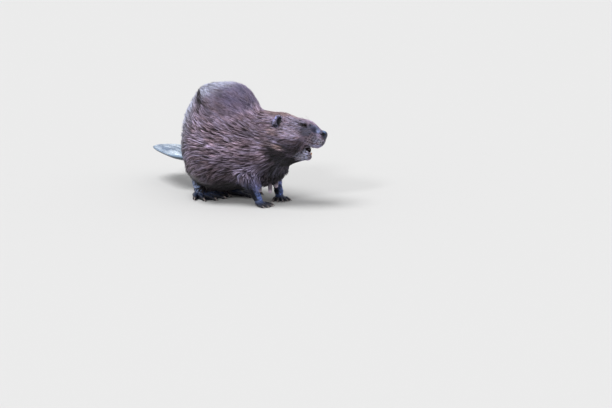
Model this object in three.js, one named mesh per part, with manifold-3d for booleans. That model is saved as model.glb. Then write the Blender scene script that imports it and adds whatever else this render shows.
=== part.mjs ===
// A life-size Eurasian beaver, standing hunched on four feet with its head turned a little to its left
// and its tail carried to the left. Millimetres, +X ahead, +Y to the animal's left, +Z up.
// The solids reach out to the tips of the coat. The body is one field, negative inside, blended from
// named forms. Each region is meshed at its own fineness and parted from the next by a thin cut.
import * as THREE from "three";
import { mergeVertices } from "three/addons/utils/BufferGeometryUtils.js";
import Module from "manifold-3d";

const wasm = await Module();
wasm.setup();

// ---- driving dimensions ----
const backHeight = 291; // top of the arched back over the floor
const trunkWidth = 212; // across the haunches
const earToNose = 124; // along the head
const headWidth = 114; // across the cheeks
const eyeSpan = 53; // between the eyes' centres
const eyeRadius = 5.6;
const earHeight = 27;
const tailLength = 232; // of the scaly paddle
const tailWidth = 104;
const tailThickness = 19;
const hindToe = 66; // reach of the longest hind toe
const foreToe = 32;
const seam = 0.3; // gap between neighbouring pieces
const sliver = 0.08; // edges shorter than about this are closed up

const vec = (x, y, z) => new THREE.Vector3(x, y, z);
const radians = THREE.MathUtils.degToRad;
const sides = { r: -1, l: 1 };

// ---- fields: functions of a point, negative inside ----
function ellipsoid(centre, radii) {
  return (p) => {
    const [x, y, z] = [p.x - centre.x, p.y - centre.y, p.z - centre.z];
    const near = Math.hypot(x / radii.x, y / radii.y, z / radii.z);
    const slope = Math.hypot(x / radii.x ** 2, y / radii.y ** 2, z / radii.z ** 2);
    return slope < 1e-9 ? -Math.min(radii.x, radii.y, radii.z) : (near * (near - 1)) / slope;
  };
}

// A round bar from a to b whose radius goes from ra to rb.
function limb(a, b, ra, rb) {
  const axis = b.clone().sub(a);
  return (p) => {
    const along = (p.x - a.x) * axis.x + (p.y - a.y) * axis.y + (p.z - a.z) * axis.z;
    const t = THREE.MathUtils.clamp(along / axis.lengthSq(), 0, 1);
    const away = Math.hypot(p.x - a.x - axis.x * t, p.y - a.y - axis.y * t, p.z - a.z - axis.z * t);
    return away - (ra + (rb - ra) * t);
  };
}

function soften(a, b, k) {
  const h = Math.max(k - Math.abs(a - b), 0) / k;
  return Math.min(a, b) - (h * h * k) / 4;
}

// Joins fields with fillets about k wide.
const blend = (k, ...fields) => (p) => fields.reduce((d, f) => soften(d, f(p), k), Infinity);

const carve = (k, field, ...cutters) => (p) =>
  -cutters.reduce((d, f) => soften(d, f(p), k), -field(p));

// A field that is laid out in the frame of a turned part, such as the head.
function placed(frame, field) {
  const back = frame.clone().invert();
  return (p) => field(p.clone().applyMatrix4(back));
}

// A frame with +X ahead of the part: roll about X, then pitch down, then yaw to the left.
const frameAt = (place, roll, pitch, yaw) =>
  new THREE.Matrix4()
    .makeRotationFromEuler(new THREE.Euler(radians(roll), radians(pitch), radians(yaw), "ZYX"))
    .setPosition(place);

const both = (make) => Object.values(sides).map(make);
const perSide = (make) => Object.entries(sides).map(([name, side]) => make(name, side));

// ---- forms of the trunk and neck ----
const trunk = blend(
  30,
  ellipsoid(vec(-52, 10, 126), vec(98, trunkWidth / 2, 108)), // haunches and belly
  ellipsoid(vec(-62, 8, backHeight - 104), vec(84, 78, 98)), // loins
  ellipsoid(vec(-16, 4, backHeight - 86), vec(70, 70, 84)), // top of the arch
  ellipsoid(vec(30, 0, 118), vec(74, 82, 84)), // ribs
  ellipsoid(vec(66, 2, 100), vec(56, 62, 62)), // chest
);
const nape = blend(
  20,
  limb(vec(20, 0, 150), vec(96, 3, 166), 74, 52),
  limb(vec(60, 0, 112), vec(98, 3, 138), 58, 48), // throat
);

// ---- the head, laid out along its own X from the line between the ears to the nose ----
const headFrame = frameAt(vec(109, 4, 222), -8, 22, 15);
const noseTip = vec(earToNose - 7, 0, -5);
const eyeAt = (side) => vec(65, (side * eyeSpan) / 2, 0.5);
const earAt = (side) => vec(1, side * 43, -14);
const skull = blend(
  22,
  ellipsoid(vec(4, 0, -46), vec(56, 49, 47)), // cranium
  ...both((s) => limb(vec(28, s * 14, -25.5), vec(74, s * 8, -18.5), 31, 25)), // brow
  limb(vec(76, 0, -21), vec(105, 0, -20), 27, 22), // bridge
  ...both((s) => ellipsoid(vec(34, s * (headWidth / 2 - 34), -57), vec(45, 30, 38))), // cheeks
);
const muzzle = blend(
  7,
  skull,
  ...both((s) => ellipsoid(vec(60, s * 21, -1), vec(19, 10, 8.5))), // brow ridges
  ...both((s) => ellipsoid(vec(101, s * 12, -29), vec(22, 17, 14))), // whisker pads
  ellipsoid(noseTip, vec(9, 14, 10)),
);
const jaw = limb(vec(50, 0, -82), vec(97, 0, -69), 32, 11);
const mouthGap = ellipsoid(vec(119, 0, -52), vec(31, 40, 6.5));
const nostrils = both((s) => ellipsoid(vec(noseTip.x + 7, s * 8, noseTip.z), vec(7, 3, 3)));
const headForm = placed(
  headFrame,
  carve(2, carve(3, blend(10, muzzle, jaw), mouthGap), ...nostrils),
);

// ---- limbs: the near side is the right one ----
const hipMiddle = 12; // the hips are carried a little to the left
const feet = {
  // Planted, toes ahead.
  fore_r: { top: vec(46, -62, 84), heel: vec(69, -46, 20), ball: vec(77, -47, 7), turn: 0, fan: 28 },
  // Set further ahead, turned inward.
  fore_l: { top: vec(70, 54, 84), heel: vec(89, 44, 20), ball: vec(93, 39, 7), turn: -50, fan: 26 },
  // Pushing off: the heel is raised into the coat and the toes are spread outward.
  hind_r: { top: vec(-60, -66, 84), heel: vec(-120, -10, 68), ball: vec(-102, -8, 11), turn: -30, fan: 38 },
  // Planted flat.
  hind_l: { top: vec(-66, 80, 80), heel: vec(-106, 54, 17), ball: vec(-36, 58, 9), turn: 4, fan: 21 },
};
const isHind = (name) => name.startsWith("hind");
const sideOf = (name) => (name.endsWith("r") ? -1 : 1);

// The five digits of a foot, inner to outer, each { root, tip, radius }.
function digitsOf(name) {
  const { ball, turn, fan } = feet[name];
  const [reaches, spread, radius] = isHind(name)
    ? [[0.9, 1, 1, 0.86, 0.6], 32, 7]
    : [[0.76, 0.95, 1, 0.92, 0.72], 24, 5];
  return reaches.map((reach, n) => {
    const share = sideOf(name) * (n / 4 - 0.5);
    const angle = radians(turn + 2 * fan * share);
    const across = radians(turn + 90);
    const root = ball.clone();
    root.x += spread * share * Math.cos(across);
    root.y += spread * share * Math.sin(across);
    root.z = radius;
    const length = reach * (isHind(name) ? hindToe : foreToe) - radius;
    const tip = vec(root.x + length * Math.cos(angle), root.y + length * Math.sin(angle), radius * 0.8);
    return { root, tip, radius };
  });
}

// A leg from inside the body down through its heel to the sole, the web and the digits.
const footForm = (name) => {
  const { top, heel, ball, turn } = feet[name];
  const [thick, ankle, sole, pad, web] = isHind(name)
    ? [34, 14, 12, vec(20, 24, 10), vec(34, 27, 5)]
    : [29, 11, 9, vec(13, 14, 8), vec(13, 12, 4)];
  const frame = frameAt(vec(ball.x, ball.y, 0), 0, 0, turn);
  return blend(
    6,
    blend(12, limb(top, heel, thick, ankle), limb(heel, ball, ankle, sole)),
    placed(frame, blend(5, ellipsoid(vec(0, 0, 6), pad), ellipsoid(vec(web.x * 0.7, 0, 2), web))),
    ...digitsOf(name).map((d) => limb(d.root, d.tip, d.radius, d.radius * 0.8)),
  );
};

// ---- the tail, laid out backwards along its own X ----
const tailFrame = frameAt(vec(-112, 20, 82), 1, 2, 180 - 43);
const tailRoot = placed(tailFrame, limb(vec(0, 0, 0), vec(46, 0, 0), 31, 12));
const paddleStart = 26;
const paddle = (p) => {
  const x = (p.x - paddleStart - tailLength / 2) / (tailLength / 2);
  const y = p.y / ((tailWidth / 2) * (1 + 0.06 * x));
  const z = p.z / ((tailThickness / 2) * (1 - 0.45 * x));
  const plan = (Math.abs(x) ** 2.2 + Math.abs(y) ** 2.2) ** (1 / 2.2);
  return (Math.hypot(plan, z) - 1) * (tailThickness / 2);
};

const body = blend(
  14,
  blend(26, trunk, nape, tailRoot),
  headForm,
  ...Object.keys(feet).map(footForm),
);

// ---- surface net: one point in each cell that the surface crosses, one quad for each crossed edge ----
const corners = [0, 1, 2, 3, 4, 5, 6, 7].map((c) => [c & 1, (c >> 1) & 1, c >> 2]);
const cellEdges = corners.flatMap((_, m) => [1, 2, 4].filter((b) => !(m & b)).map((b) => [m, m | b]));
const steps = [vec(1, 0, 0), vec(0, 1, 0), vec(0, 0, 1)];

function netOf(field, low, high, cell) {
  const [nx, ny, nz] = ["x", "y", "z"].map((k) => Math.ceil((high[k] - low[k]) / cell) + 3);
  const start = low.clone().subScalar(cell);
  const at = (i, j, k) => i + nx * (j + ny * k);
  const eachNode = (first, last, visit) => {
    for (let k = first; k < nz - last; k++) {
      for (let j = first; j < ny - last; j++) {
        for (let i = first; i < nx - last; i++) visit(i, j, k);
      }
    }
  };
  const values = new Float32Array(nx * ny * nz).fill(cell);
  eachNode(1, 1, (i, j, k) => {
    values[at(i, j, k)] = field(vec(i, j, k).multiplyScalar(cell).add(start));
  });

  const pointOf = new Int32Array(values.length).fill(-1);
  const points = [];
  eachNode(0, 1, (i, j, k) => {
    const v = corners.map(([a, b, c]) => values[at(i + a, j + b, k + c)]);
    const crossings = cellEdges
      .filter(([m, n]) => v[m] < 0 !== v[n] < 0)
      .map(([m, n]) => vec(...corners[m]).lerp(vec(...corners[n]), v[m] / (v[m] - v[n])));
    if (!crossings.length) return;
    const middle = crossings.reduce((sum, q) => sum.add(q), vec(i, j, k).multiplyScalar(crossings.length));
    pointOf[at(i, j, k)] = points.length;
    points.push(middle.multiplyScalar(cell / crossings.length).add(start));
  });

  const index = [];
  eachNode(0, 1, (i, j, k) => {
    const inside = values[at(i, j, k)] < 0;
    steps.forEach((s, axis) => {
      if (inside === values[at(i + s.x, j + s.y, k + s.z)] < 0) return;
      const [u, w] = [steps[(axis + 1) % 3], steps[(axis + 2) % 3]];
      const around = [vec(0, 0, 0), u, u.clone().add(w), w];
      const quad = around.map((back) => pointOf[at(i - back.x, j - back.y, k - back.z)]);
      if (!inside) quad.reverse();
      index.push(quad[0], quad[1], quad[2], quad[0], quad[2], quad[3]);
    });
  });
  points.forEach((q) => settle(q, field, cell));
  return new THREE.BufferGeometry().setFromPoints(points).setIndex(index);
}

// Moves a point along the field's slope onto its surface.
function settle(q, field, cell) {
  const h = 0.4;
  for (let n = 0; n < 2; n++) {
    const d = field(q);
    const slope = vec(...steps.map((s) => (field(q.clone().addScaledVector(s, h)) - d) / h));
    const move = d / Math.max(slope.lengthSq(), 0.1);
    q.addScaledVector(slope, -THREE.MathUtils.clamp(move, -cell / 4, cell / 4));
  }
}

// ---- solids ----
function solidOf(geometry) {
  const bare = geometry.clone();
  bare.deleteAttribute("normal");
  bare.deleteAttribute("uv");
  const merged = mergeVertices(bare, 1e-4);
  return new wasm.Manifold(
    new wasm.Mesh({
      numProp: 3,
      vertProperties: new Float32Array(merged.attributes.position.array),
      triVerts: new Uint32Array(merged.index.array),
    }),
  );
}

const shaped = (geometry, place, frame = new THREE.Matrix4()) =>
  solidOf(geometry.translate(place.x, place.y, place.z).applyMatrix4(frame));
const ball = (centre, radii, frame, count = 10) =>
  shaped(new THREE.SphereGeometry(1, count, count * 0.7).scale(radii.x, radii.y, radii.z), centre, frame);
const block = (low, high, frame) => {
  const size = high.clone().sub(low);
  return shaped(new THREE.BoxGeometry(size.x, size.y, size.z), low.clone().add(high).divideScalar(2), frame);
};

// Everything ahead of a plane through a point, as a large block.
const far = 600;
const aheadOf = (point, pitch, yaw, gap = 0) =>
  block(vec(gap, -far, -far), vec(2 * far, far, far), frameAt(point, 0, pitch, yaw));

// ---- regions that the cuts leave to each piece, grown by a gap ----
const neckRear = (gap) => aheadOf(vec(58, 0, 160), -17.8, 0, -gap);
const neckFront = (gap) => aheadOf(vec(91, -1, 229), -7.7, 17, -gap);
const headRegion = (gap) => neckFront(gap).intersect(neckRear(gap));
const mouthFrame = headFrame.clone().multiply(frameAt(vec(100, 0, -52), 0, -5, 0));
const underMouth = (gap) => block(vec(-60, -far, -far), vec(far, far, gap), mouthFrame);
const jawRegion = (gap) => underMouth(gap).intersect(headRegion(gap));
const noseRegion = (gap) =>
  ball(noseTip.clone().add(vec(3, 0, 0)), vec(11 + gap, 14 + gap, 10.5 + gap), headFrame);
const eyeRegion = (side, gap) =>
  ball(eyeAt(side), vec(1, 1, 1).multiplyScalar(eyeRadius + gap), headFrame, 8);
const everything = () => block(vec(-far, -far, -far), vec(far, far, far));

// A tapered bar from a to b.
function bar(a, b, ra, rb, count) {
  const turn = new THREE.Quaternion().setFromUnitVectors(vec(0, 1, 0), b.clone().sub(a).normalize());
  const geometry = new THREE.CylinderGeometry(rb, ra, a.distanceTo(b), count).applyQuaternion(turn);
  return shaped(geometry, a.clone().add(b).divideScalar(2));
}

// The ear is a cup that faces outward and a little ahead.
const earRegion = (side, gap) => {
  const frame = headFrame.clone().multiply(frameAt(earAt(side), 0, -8, side * 40));
  const cup = ball(vec(0, 0, 0), vec(9 + gap, 12 + gap, earHeight / 2 + gap), frame, 9);
  return cup.subtract(ball(vec(6, 0, 1), vec(9 - gap, 9 - gap, earHeight / 2 - 3 - gap), frame, 8));
};

const haunchOf = (name) => vec(-54, hipMiddle + sideOf(name) * 92, 78);
const legRegion = (name, gap) => {
  const { top, heel, ball: middle } = feet[name];
  if (!isHind(name)) {
    const shoulder = ball(top, vec(34 + gap, 40 + gap, 38 + gap));
    return shoulder.add(bar(top, heel.clone().lerp(top, -0.3), 34 + gap, 24 + gap, 10));
  }
  const haunch = ball(haunchOf(name), vec(62 + gap, 54 + gap, 76 + gap));
  const shank = bar(haunchOf(name), heel, 44 + gap, 30 + gap, 12);
  const hock = heel.clone().lerp(middle, -0.3);
  return haunch.add(shank).add(bar(hock, middle.clone().setZ(-9), 30 + gap, 26 + gap, 12));
};
const footRegion = (name, gap) => {
  const { ball: middle, heel } = feet[name];
  const reach = isHind(name) ? 90 : 50;
  const parting = isHind(name) ? hipMiddle : -6;
  const [right, left] = name.endsWith("r") ? [-far, parting] : [parting, far];
  const low = vec(Math.min(middle.x, heel.x) - 28 - gap, right - gap, 0);
  return block(low, vec(middle.x + reach + gap, left + gap, 21.5 + gap));
};
const tailRegion = (gap) => block(vec(32 - gap, -64, -26 - gap), vec(far, 64, 26 + gap), tailFrame);

// A claw runs down from the end of its digit to a point just over the floor.
const clawRegion = (digit, gap) => {
  const ahead = digit.tip.clone().sub(digit.root).setZ(0).normalize();
  const size = digit.radius * 1.9;
  const from = digit.tip.clone().addScaledVector(ahead, digit.radius * 0.3);
  const to = digit.tip.clone().addScaledVector(ahead, digit.radius * 0.3 + size).setZ(1.6);
  return bar(from.setZ(digit.radius * 0.85), to, digit.radius * 0.42 + gap, 0.5 + gap, 5);
};

// The lower incisors stand up side by side from the tip of the jaw.
const toothRegion = (side, gap) => {
  const [low, high] = [vec(-4.4 - gap, -2.5 - gap, -gap), vec(gap, 2.5 + gap, 19)];
  return block(low, high, headFrame.clone().multiply(frameAt(vec(108, side * 2.9, -70), 0, -3, 0)));
};

// Two pairs of teats hang from the chest.
const teatRows = [62, 90];
const teatRegion = (x, side, gap) =>
  ball(vec(x, side * 17, 32), vec(3.4 + gap, 3.4 + gap, 9 + gap), undefined, 8);

// ---- pieces ----
const finish = (color, roughness) => new THREE.MeshStandardMaterial({ color, roughness, metalness: 0 });
const coat = finish(0x54423a, 0.65);
const leather = finish(0x4b4749, 0.45);
const scales = finish(0x5c6066, 0.35);
const claw = finish(0x2b2422, 0.4);
const eye = finish(0x0c0908, 0.1);
const tooth = finish(0xc8702a, 0.35);
const teat = finish(0xb98f86, 0.5);

// A field between two corners of a frame, meshed at one cell and thinned where it is nearly flat.
function formIn(frame, field, low, high, cell, tolerance) {
  const net = netOf((q) => field(q.clone().applyMatrix4(frame)), low, high, cell);
  return solidOf(net.applyMatrix4(frame)).simplify(tolerance);
}

const upright = new THREE.Matrix4();
const flatFrame = tailFrame.clone().scale(vec(1, 1, 0.3));
const tailField = blend(8, tailRoot, placed(tailFrame, paddle));
const trunkForm = formIn(upright, body, vec(-175, -116, 8), vec(150, 130, 300), 28, 1.5);
const neckForm = formIn(upright, body, vec(10, -100, 40), vec(160, 100, 280), 16.5, 0.8);
const headForms = formIn(headFrame, body, vec(-60, -80, -150), vec(140, 80, 40), 11, 0.9);
const tailForm = formIn(flatFrame, tailField, vec(10, -70, -160), vec(280, 70, 160), 15.3, 0.3);

const footForms = (name) => {
  const { x, y } = feet[name].ball;
  const cell = isHind(name) ? 8.7 : 6.5;
  return formIn(upright, body, vec(x - 116, y - 100, 0), vec(x + 110, y + 100, 34), cell, 0.5);
};
const legForms = (name) => {
  if (isHind(name)) return trunkForm;
  const { top, heel } = feet[name];
  const middle = top.clone().add(heel).divideScalar(2);
  const reach = vec(80, 70, 90);
  return formIn(upright, body, middle.clone().sub(reach).setZ(0), middle.clone().add(reach), 20, 0.5);
};

// In order: each piece gives way to the ones before it. A piece with no form is its whole region.
const pieces = [
  ...perSide((n, s) => ({ name: `eye_${n}`, material: eye, region: (gap) => eyeRegion(s, gap) })),
  ...perSide((n, s) => ({ name: `ear_${n}`, material: leather, region: (gap) => earRegion(s, gap) })),
  ...perSide((n, s) => ({ name: `tooth_${n}`, material: tooth, region: (gap) => toothRegion(s, gap) })),
  ...teatRows.flatMap((x, row) =>
    perSide((n, s) => ({ name: `teat_${n}_${row + 1}`, material: teat, region: (gap) => teatRegion(x, s, gap) })),
  ),
  { name: "nose", material: leather, region: noseRegion, form: headForms },
  ...Object.keys(feet).flatMap((name) => [
    ...digitsOf(name).map((digit, n) => ({
      name: `claw_${name}_${n + 1}`,
      material: claw,
      region: (gap) => clawRegion(digit, gap),
    })),
    { name: `foot_${name}`, material: leather, region: (gap) => footRegion(name, gap), form: footForms(name) },
    { name: `leg_${name}`, material: coat, region: (gap) => legRegion(name, gap), form: legForms(name) },
  ]),
  { name: "tail", material: scales, region: tailRegion, form: tailForm },
  { name: "lower_jaw", material: coat, region: jawRegion, form: headForms },
  { name: "head", material: coat, region: headRegion, form: headForms },
  { name: "neck", material: coat, region: neckRear, form: neckForm },
  { name: "trunk", material: coat, region: everything, form: trunkForm },
];

// The largest body of a solid, without the crumbs that a cut leaves.
const mainBody = (solid) => solid.decompose().sort((a, b) => b.volume() - a.volume())[0];

function meshOf({ name, material }, solid) {
  const { numProp, vertProperties, triVerts } = solid.getMesh();
  const geometry = new THREE.BufferGeometry()
    .setAttribute("position", new THREE.BufferAttribute(new Float32Array(vertProperties), numProp))
    .setIndex(new THREE.BufferAttribute(triVerts, 1));
  geometry.computeVertexNormals();
  const mesh = new THREE.Mesh(geometry, material);
  mesh.name = name;
  return mesh;
}

const group = new THREE.Group();
pieces.forEach((piece, n) => {
  const whole = piece.form ? piece.form.intersect(piece.region(0)) : piece.region(0);
  const own = pieces.slice(0, n).reduce((left, earlier) => left.subtract(earlier.region(seam)), whole);
  group.add(meshOf(piece, mainBody(own.simplify(sliver))));
});

// The origin is on the floor, in the middle of the whole animal.
const extent = new THREE.Box3().setFromObject(group);
const middle = extent.getCenter(vec(0, 0, 0)).setZ(extent.min.z);
group.children.forEach((mesh) => mesh.geometry.translate(-middle.x, -middle.y, -middle.z));

export default group;
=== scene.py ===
import math
from concurrent.futures import ThreadPoolExecutor

import bpy
import numpy as np
import openvdb as vdb
from mathutils import Euler, Matrix, Vector
from mathutils.kdtree import KDTree


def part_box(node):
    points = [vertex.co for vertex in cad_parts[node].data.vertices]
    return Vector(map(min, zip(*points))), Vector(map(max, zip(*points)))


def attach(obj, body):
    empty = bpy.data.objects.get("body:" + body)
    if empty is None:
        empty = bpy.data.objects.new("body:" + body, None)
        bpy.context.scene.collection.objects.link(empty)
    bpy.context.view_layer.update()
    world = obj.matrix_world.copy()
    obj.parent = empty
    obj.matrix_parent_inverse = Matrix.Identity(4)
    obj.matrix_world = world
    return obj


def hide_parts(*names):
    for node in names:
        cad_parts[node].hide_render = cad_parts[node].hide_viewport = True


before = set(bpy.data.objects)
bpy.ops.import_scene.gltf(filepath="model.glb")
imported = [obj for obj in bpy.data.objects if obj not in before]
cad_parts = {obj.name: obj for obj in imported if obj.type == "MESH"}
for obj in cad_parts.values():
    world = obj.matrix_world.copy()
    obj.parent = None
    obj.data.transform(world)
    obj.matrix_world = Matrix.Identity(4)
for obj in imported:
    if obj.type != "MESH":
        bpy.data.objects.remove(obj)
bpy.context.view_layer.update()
mm = 0.001
sides = {"r": -1, "l": 1}


def frameAt(place, roll, pitch, yaw):
    turn = Euler([math.radians(angle) for angle in (roll, pitch, yaw)], "XYZ")
    return Matrix.Translation(place) @ turn.to_matrix().to_4x4()


def turnOf(place):
    return np.array(place.to_3x3(), np.float32)


def inFrame(place, points):
    return (points - np.array(place.translation, np.float32)) @ turnOf(place)


def outOfFrame(place, points):
    return points @ turnOf(place).T + np.array(place.translation, np.float32)


headFrame = frameAt((109, 4, 222), -8, 22, 15)
tailFrame = frameAt((-112, 20, 82), 3.0, 1.2, 137)


def eyeAt(side):
    return Vector((65, side * 26.5, 0.5))


def earFrame(side):
    return headFrame @ frameAt((4, side * 43, -15), 0, -6, side * 58)


def middleOf(node):
    low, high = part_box(node)
    return (low + high) / 2


# The body's own origin, found from where the frame keeps the right eye.
origin = middleOf("eye_r") / mm - headFrame @ eyeAt(-1)


def toPart(points):
    return (np.asarray(points, np.float64) + np.array(origin)) * mm


camera = {
    "azimuth": 25, "elevation": 12, "distance": 12.0,
    "frameWidth": 1.4994, "right": 0.1617, "up": -0.0108,
    "sensor": 36, "farthest": 60,
}


def makeCamera():
    turn, rise = math.radians(camera["azimuth"]), math.radians(camera["elevation"])
    right = Vector((math.cos(turn), math.sin(turn), 0))
    back = Vector((math.sin(turn) * math.cos(rise), -math.cos(turn) * math.cos(rise), math.sin(rise)))
    aim = origin * mm + right * camera["right"] + back.cross(right) * camera["up"]
    data = bpy.data.cameras.new("camera")
    data.sensor_width = camera["sensor"]
    data.lens = data.sensor_width * camera["distance"] / camera["frameWidth"]
    data.clip_end = camera["farthest"]
    holder = bpy.data.objects.new("camera", data)
    holder.location = aim + back * camera["distance"]
    holder.rotation_euler = back.to_track_quat("Z", "Y").to_euler()
    bpy.context.scene.collection.objects.link(holder)
    bpy.context.scene.camera = holder


makeCamera()


# Fields are functions of many points, negative inside.
def ellipsoid(centre, radii):
    centre, radii = np.float32(centre), np.float32(radii)

    def field(p):
        q = (p - centre) / radii
        near = np.maximum(np.sqrt((q * q).sum(1)), 1e-3)
        q /= radii
        return near * (near - 1) / np.maximum(np.sqrt((q * q).sum(1)), 1e-6)

    return field


def limb(a, b, ra, rb):
    a = np.float32(a)
    axis = np.float32(b) - a

    def field(p):
        q = p - a
        t = np.clip(q @ axis / (axis @ axis), 0, 1)
        q -= t[:, None] * axis
        return np.sqrt((q * q).sum(1)) - (ra + (rb - ra) * t)

    return field


def soften(a, b, k):
    h = np.maximum(k - np.abs(a - b), 0) / k
    return np.minimum(a, b) - h * h * (k / 4)


def blend(k, *fields):
    def field(p):
        d = fields[0](p)
        for other in fields[1:]:
            d = soften(d, other(p), k)
        return d

    return field


def carve(k, d, cutter):
    return -soften(-d, cutter, k)


def mirrored(place, p, side):
    return inFrame(place, p) * np.float32((1, -side, 1))


def placed(place, field):
    return lambda p: field(inFrame(place, p))


def both(make):
    return [make(side) for side in sides.values()]


def ramp(x, low, high):
    t = np.clip((x - low) / (high - low), 0, 1)
    return t * t * (3 - 2 * t)


def mix(a, b, share):
    return a + (b - a) * share


# The flesh, with the coat included.
trunk = blend(
    30,
    ellipsoid((-52, 10, 126), (98, 106, 108)),
    ellipsoid((-62, 8, 187), (84, 78, 98)),
    ellipsoid((-16, 4, 205), (70, 70, 84)),
    ellipsoid((30, 0, 118), (74, 82, 84)),
    ellipsoid((66, 2, 100), (56, 62, 62)),
)
nape = blend(20, limb((20, 0, 150), (96, 3, 166), 74, 52), limb((60, 0, 112), (98, 3, 138), 58, 48))
skull = blend(
    22,
    ellipsoid((4, 0, -46), (56, 49, 47)),
    *both(lambda s: limb((28, s * 14, -25.5), (74, s * 8, -18.5), 31, 25)),
    limb((76, 0, -21), (105, 0, -20), 27, 22),
    *both(lambda s: ellipsoid((34, s * 23, -57), (45, 30, 38))),
)
muzzle = blend(
    7,
    skull,
    *both(lambda s: ellipsoid((60, s * 21, -1), (19, 10, 8.5))),
    *both(lambda s: ellipsoid((101, s * 12, -29), (22, 17, 14))),
    ellipsoid((117, 0, -5), (9, 14, 10)),
)
head = placed(headFrame, blend(10, muzzle, limb((50, 0, -82), (97, 0, -69), 32, 11)))

# Each foot's leg, the way it points and how far its toes spread, in degrees.
feet = {
    "fore_r": {
        "top": (46, -62, 84), "heel": (69, -46, 20), "ball": (77, -47, 7), "turn": 0, "fan": 28,
    },
    "fore_l": {
        "top": (66, 54, 84), "heel": (84, 44, 20), "ball": (89, 39, 7), "turn": -50, "fan": 26,
    },
    "hind_r": {
        "top": (-60, -66, 84), "heel": (-120, -10, 68), "ball": (-102, -8, 11), "turn": -30, "fan": 38,
    },
    "hind_l": {
        "top": (-66, 80, 80), "heel": (-106, 54, 17), "ball": (-36, 58, 9), "turn": 4, "fan": 21,
    },
}
# Radii of the leg, the pad and the web, then the five toes.
pawShapes = {
    "fore": {
        "leg": (24, 7.8, 7.6), "pad": (12, 13, 7.5), "web": (11, 10.5, 2.6), "bare": 52,
        "reaches": (0.76, 0.95, 1, 0.92, 0.72), "spread": 24, "radius": 5, "toe": 32,
    },
    "hind": {
        "leg": (34, 14, 12), "pad": (19, 23, 9.5), "web": (33, 26, 3.2), "bare": 96,
        "reaches": (0.9, 1, 1, 0.86, 0.6), "spread": 32, "radius": 7, "toe": 66,
    },
}


def onFloor(angle):
    return Vector((math.cos(angle), math.sin(angle), 0))


def digitsOf(name):
    foot, paw = feet[name], pawShapes[name[:4]]
    side, radius = sides[name[-1]], paw["radius"]
    across = onFloor(math.radians(foot["turn"] + 90))
    digits = []
    for n, reach in enumerate(paw["reaches"]):
        share = side * (n / 4 - 0.5)
        ahead = onFloor(math.radians(foot["turn"] + 2 * foot["fan"] * share))
        root = Vector(foot["ball"]) + across * paw["spread"] * share
        root.z = radius
        tip = root + ahead * (reach * paw["toe"] - radius)
        tip.z = radius * 0.8
        digits.append({"root": root, "tip": tip, "radius": radius})
    return digits


def legForm(name):
    foot = feet[name]
    thick, ankle, sole = pawShapes[name[:4]]["leg"]
    shank = limb(foot["top"], foot["heel"], thick, ankle)
    return blend(12, shank, limb(foot["heel"], foot["ball"], ankle, sole))


def toesForm(name):
    foot, paw = feet[name], pawShapes[name[:4]]
    pad, web = paw["pad"], paw["web"]
    place = frameAt((foot["ball"][0], foot["ball"][1], 0), 0, 0, foot["turn"])
    palm = placed(place, blend(5, ellipsoid((0, 0, 6), pad), ellipsoid((web[0] * 0.7, 0, 2), web)))
    toes = []
    for digit in digitsOf(name):
        r, root, tip = digit["radius"], digit["root"], digit["tip"]
        knuckle, joint = root.lerp(tip, 0.42), root.lerp(tip, 0.78)
        knuckle.z, joint.z = r * 1.05, r * 0.85
        low = Vector((tip.x, tip.y, r * 0.62))
        toes.append(
            blend(
                1.5,
                limb(root, knuckle, r * 0.82, r * 0.72),
                limb(knuckle, low, r * 0.70, r * 0.58),
                ellipsoid(knuckle, (r * 0.95, r * 0.86, r * 0.80)),
                ellipsoid(joint, (r * 0.80, r * 0.74, r * 0.70)),
                ellipsoid(low, (r * 0.86, r * 0.74, r * 0.62)),
            )
        )
    return blend(2.2, palm, *toes)


paddleShape = {
    "middle": 145, "reach": 119, "wide": 53, "flare": 0.06, "root": 0.40,
    "thick": 9.5, "thinning": 0.45,
}


def paddlePlan(x, y):
    shape = paddleShape
    u = (x - shape["middle"]) / shape["reach"]
    v = y / (shape["wide"] * (1 + shape["flare"] * u) * mix(shape["root"], 1, ramp(u, -1.0, -0.45)))
    plan = (np.abs(u) ** 2.8 + np.abs(v) ** 2.4) ** (1 / 2.6)
    return plan, shape["thick"] * (1 - shape["thinning"] * u)


def paddle(p):
    plan, thick = paddlePlan(p[:, 0], p[:, 1])
    return (np.hypot(plan, p[:, 2] / thick) - 1) * paddleShape["thick"]


tail = placed(tailFrame, blend(8, limb((0, 0, 0), (46, 0, 0), 31, 12), paddle))
withers = ellipsoid((66, 6, 197), (38, 42, 30))
torso = blend(26, trunk, nape, withers, placed(tailFrame, limb((0, 0, 0), (46, 0, 0), 31, 12)))
legForms = {name: legForm(name) for name in feet}
toesForms = {name: toesForm(name) for name in feet}


def farFrom(p, name):
    return np.hypot(p[:, 0] - feet[name]["ball"][0], p[:, 1] - feet[name]["ball"][1])


def paws(p):
    whole = np.full(len(p), 99, np.float32)
    for name in feet:
        d = legForms[name](p)
        near = (p[:, 2] < 36) & (farFrom(p, name) < 100)
        if near.any():
            d[near] = soften(d[near], toesForms[name](p[near]), 5)
        whole = soften(whole, d, 6)
    return whole


def flesh(p):
    d = soften(torso(p), head(p), 14)
    low = p[:, 2] < 130
    d[low] = soften(d[low], paws(p[low]), 14)
    d[low] = soften(d[low], tail(p[low]), 8)
    return d


# Where the coat is long, short or missing.
def headParts(p):
    h = inFrame(headFrame, p)
    off = np.hypot(h[:, 1], h[:, 2] + 35)
    inHead = (1 - ramp(off, 60, 88)) * ramp(h[:, 0], -55, 12)
    return h, inHead


def tailShare(p):
    t = inFrame(tailFrame, p)
    share = ramp(t[:, 0], 30, 52) * (1 - ramp(np.abs(t[:, 2]), 16, 30))
    return t, share * (1 - ramp(np.abs(t[:, 1]), 58, 70))


def onEar(p, inHead):
    close = [ramp(-earForm(mirrored(earFrame(s), p, s)), -3.0, -1.0) for s in sides.values()]
    return inHead * np.maximum(*close)


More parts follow.
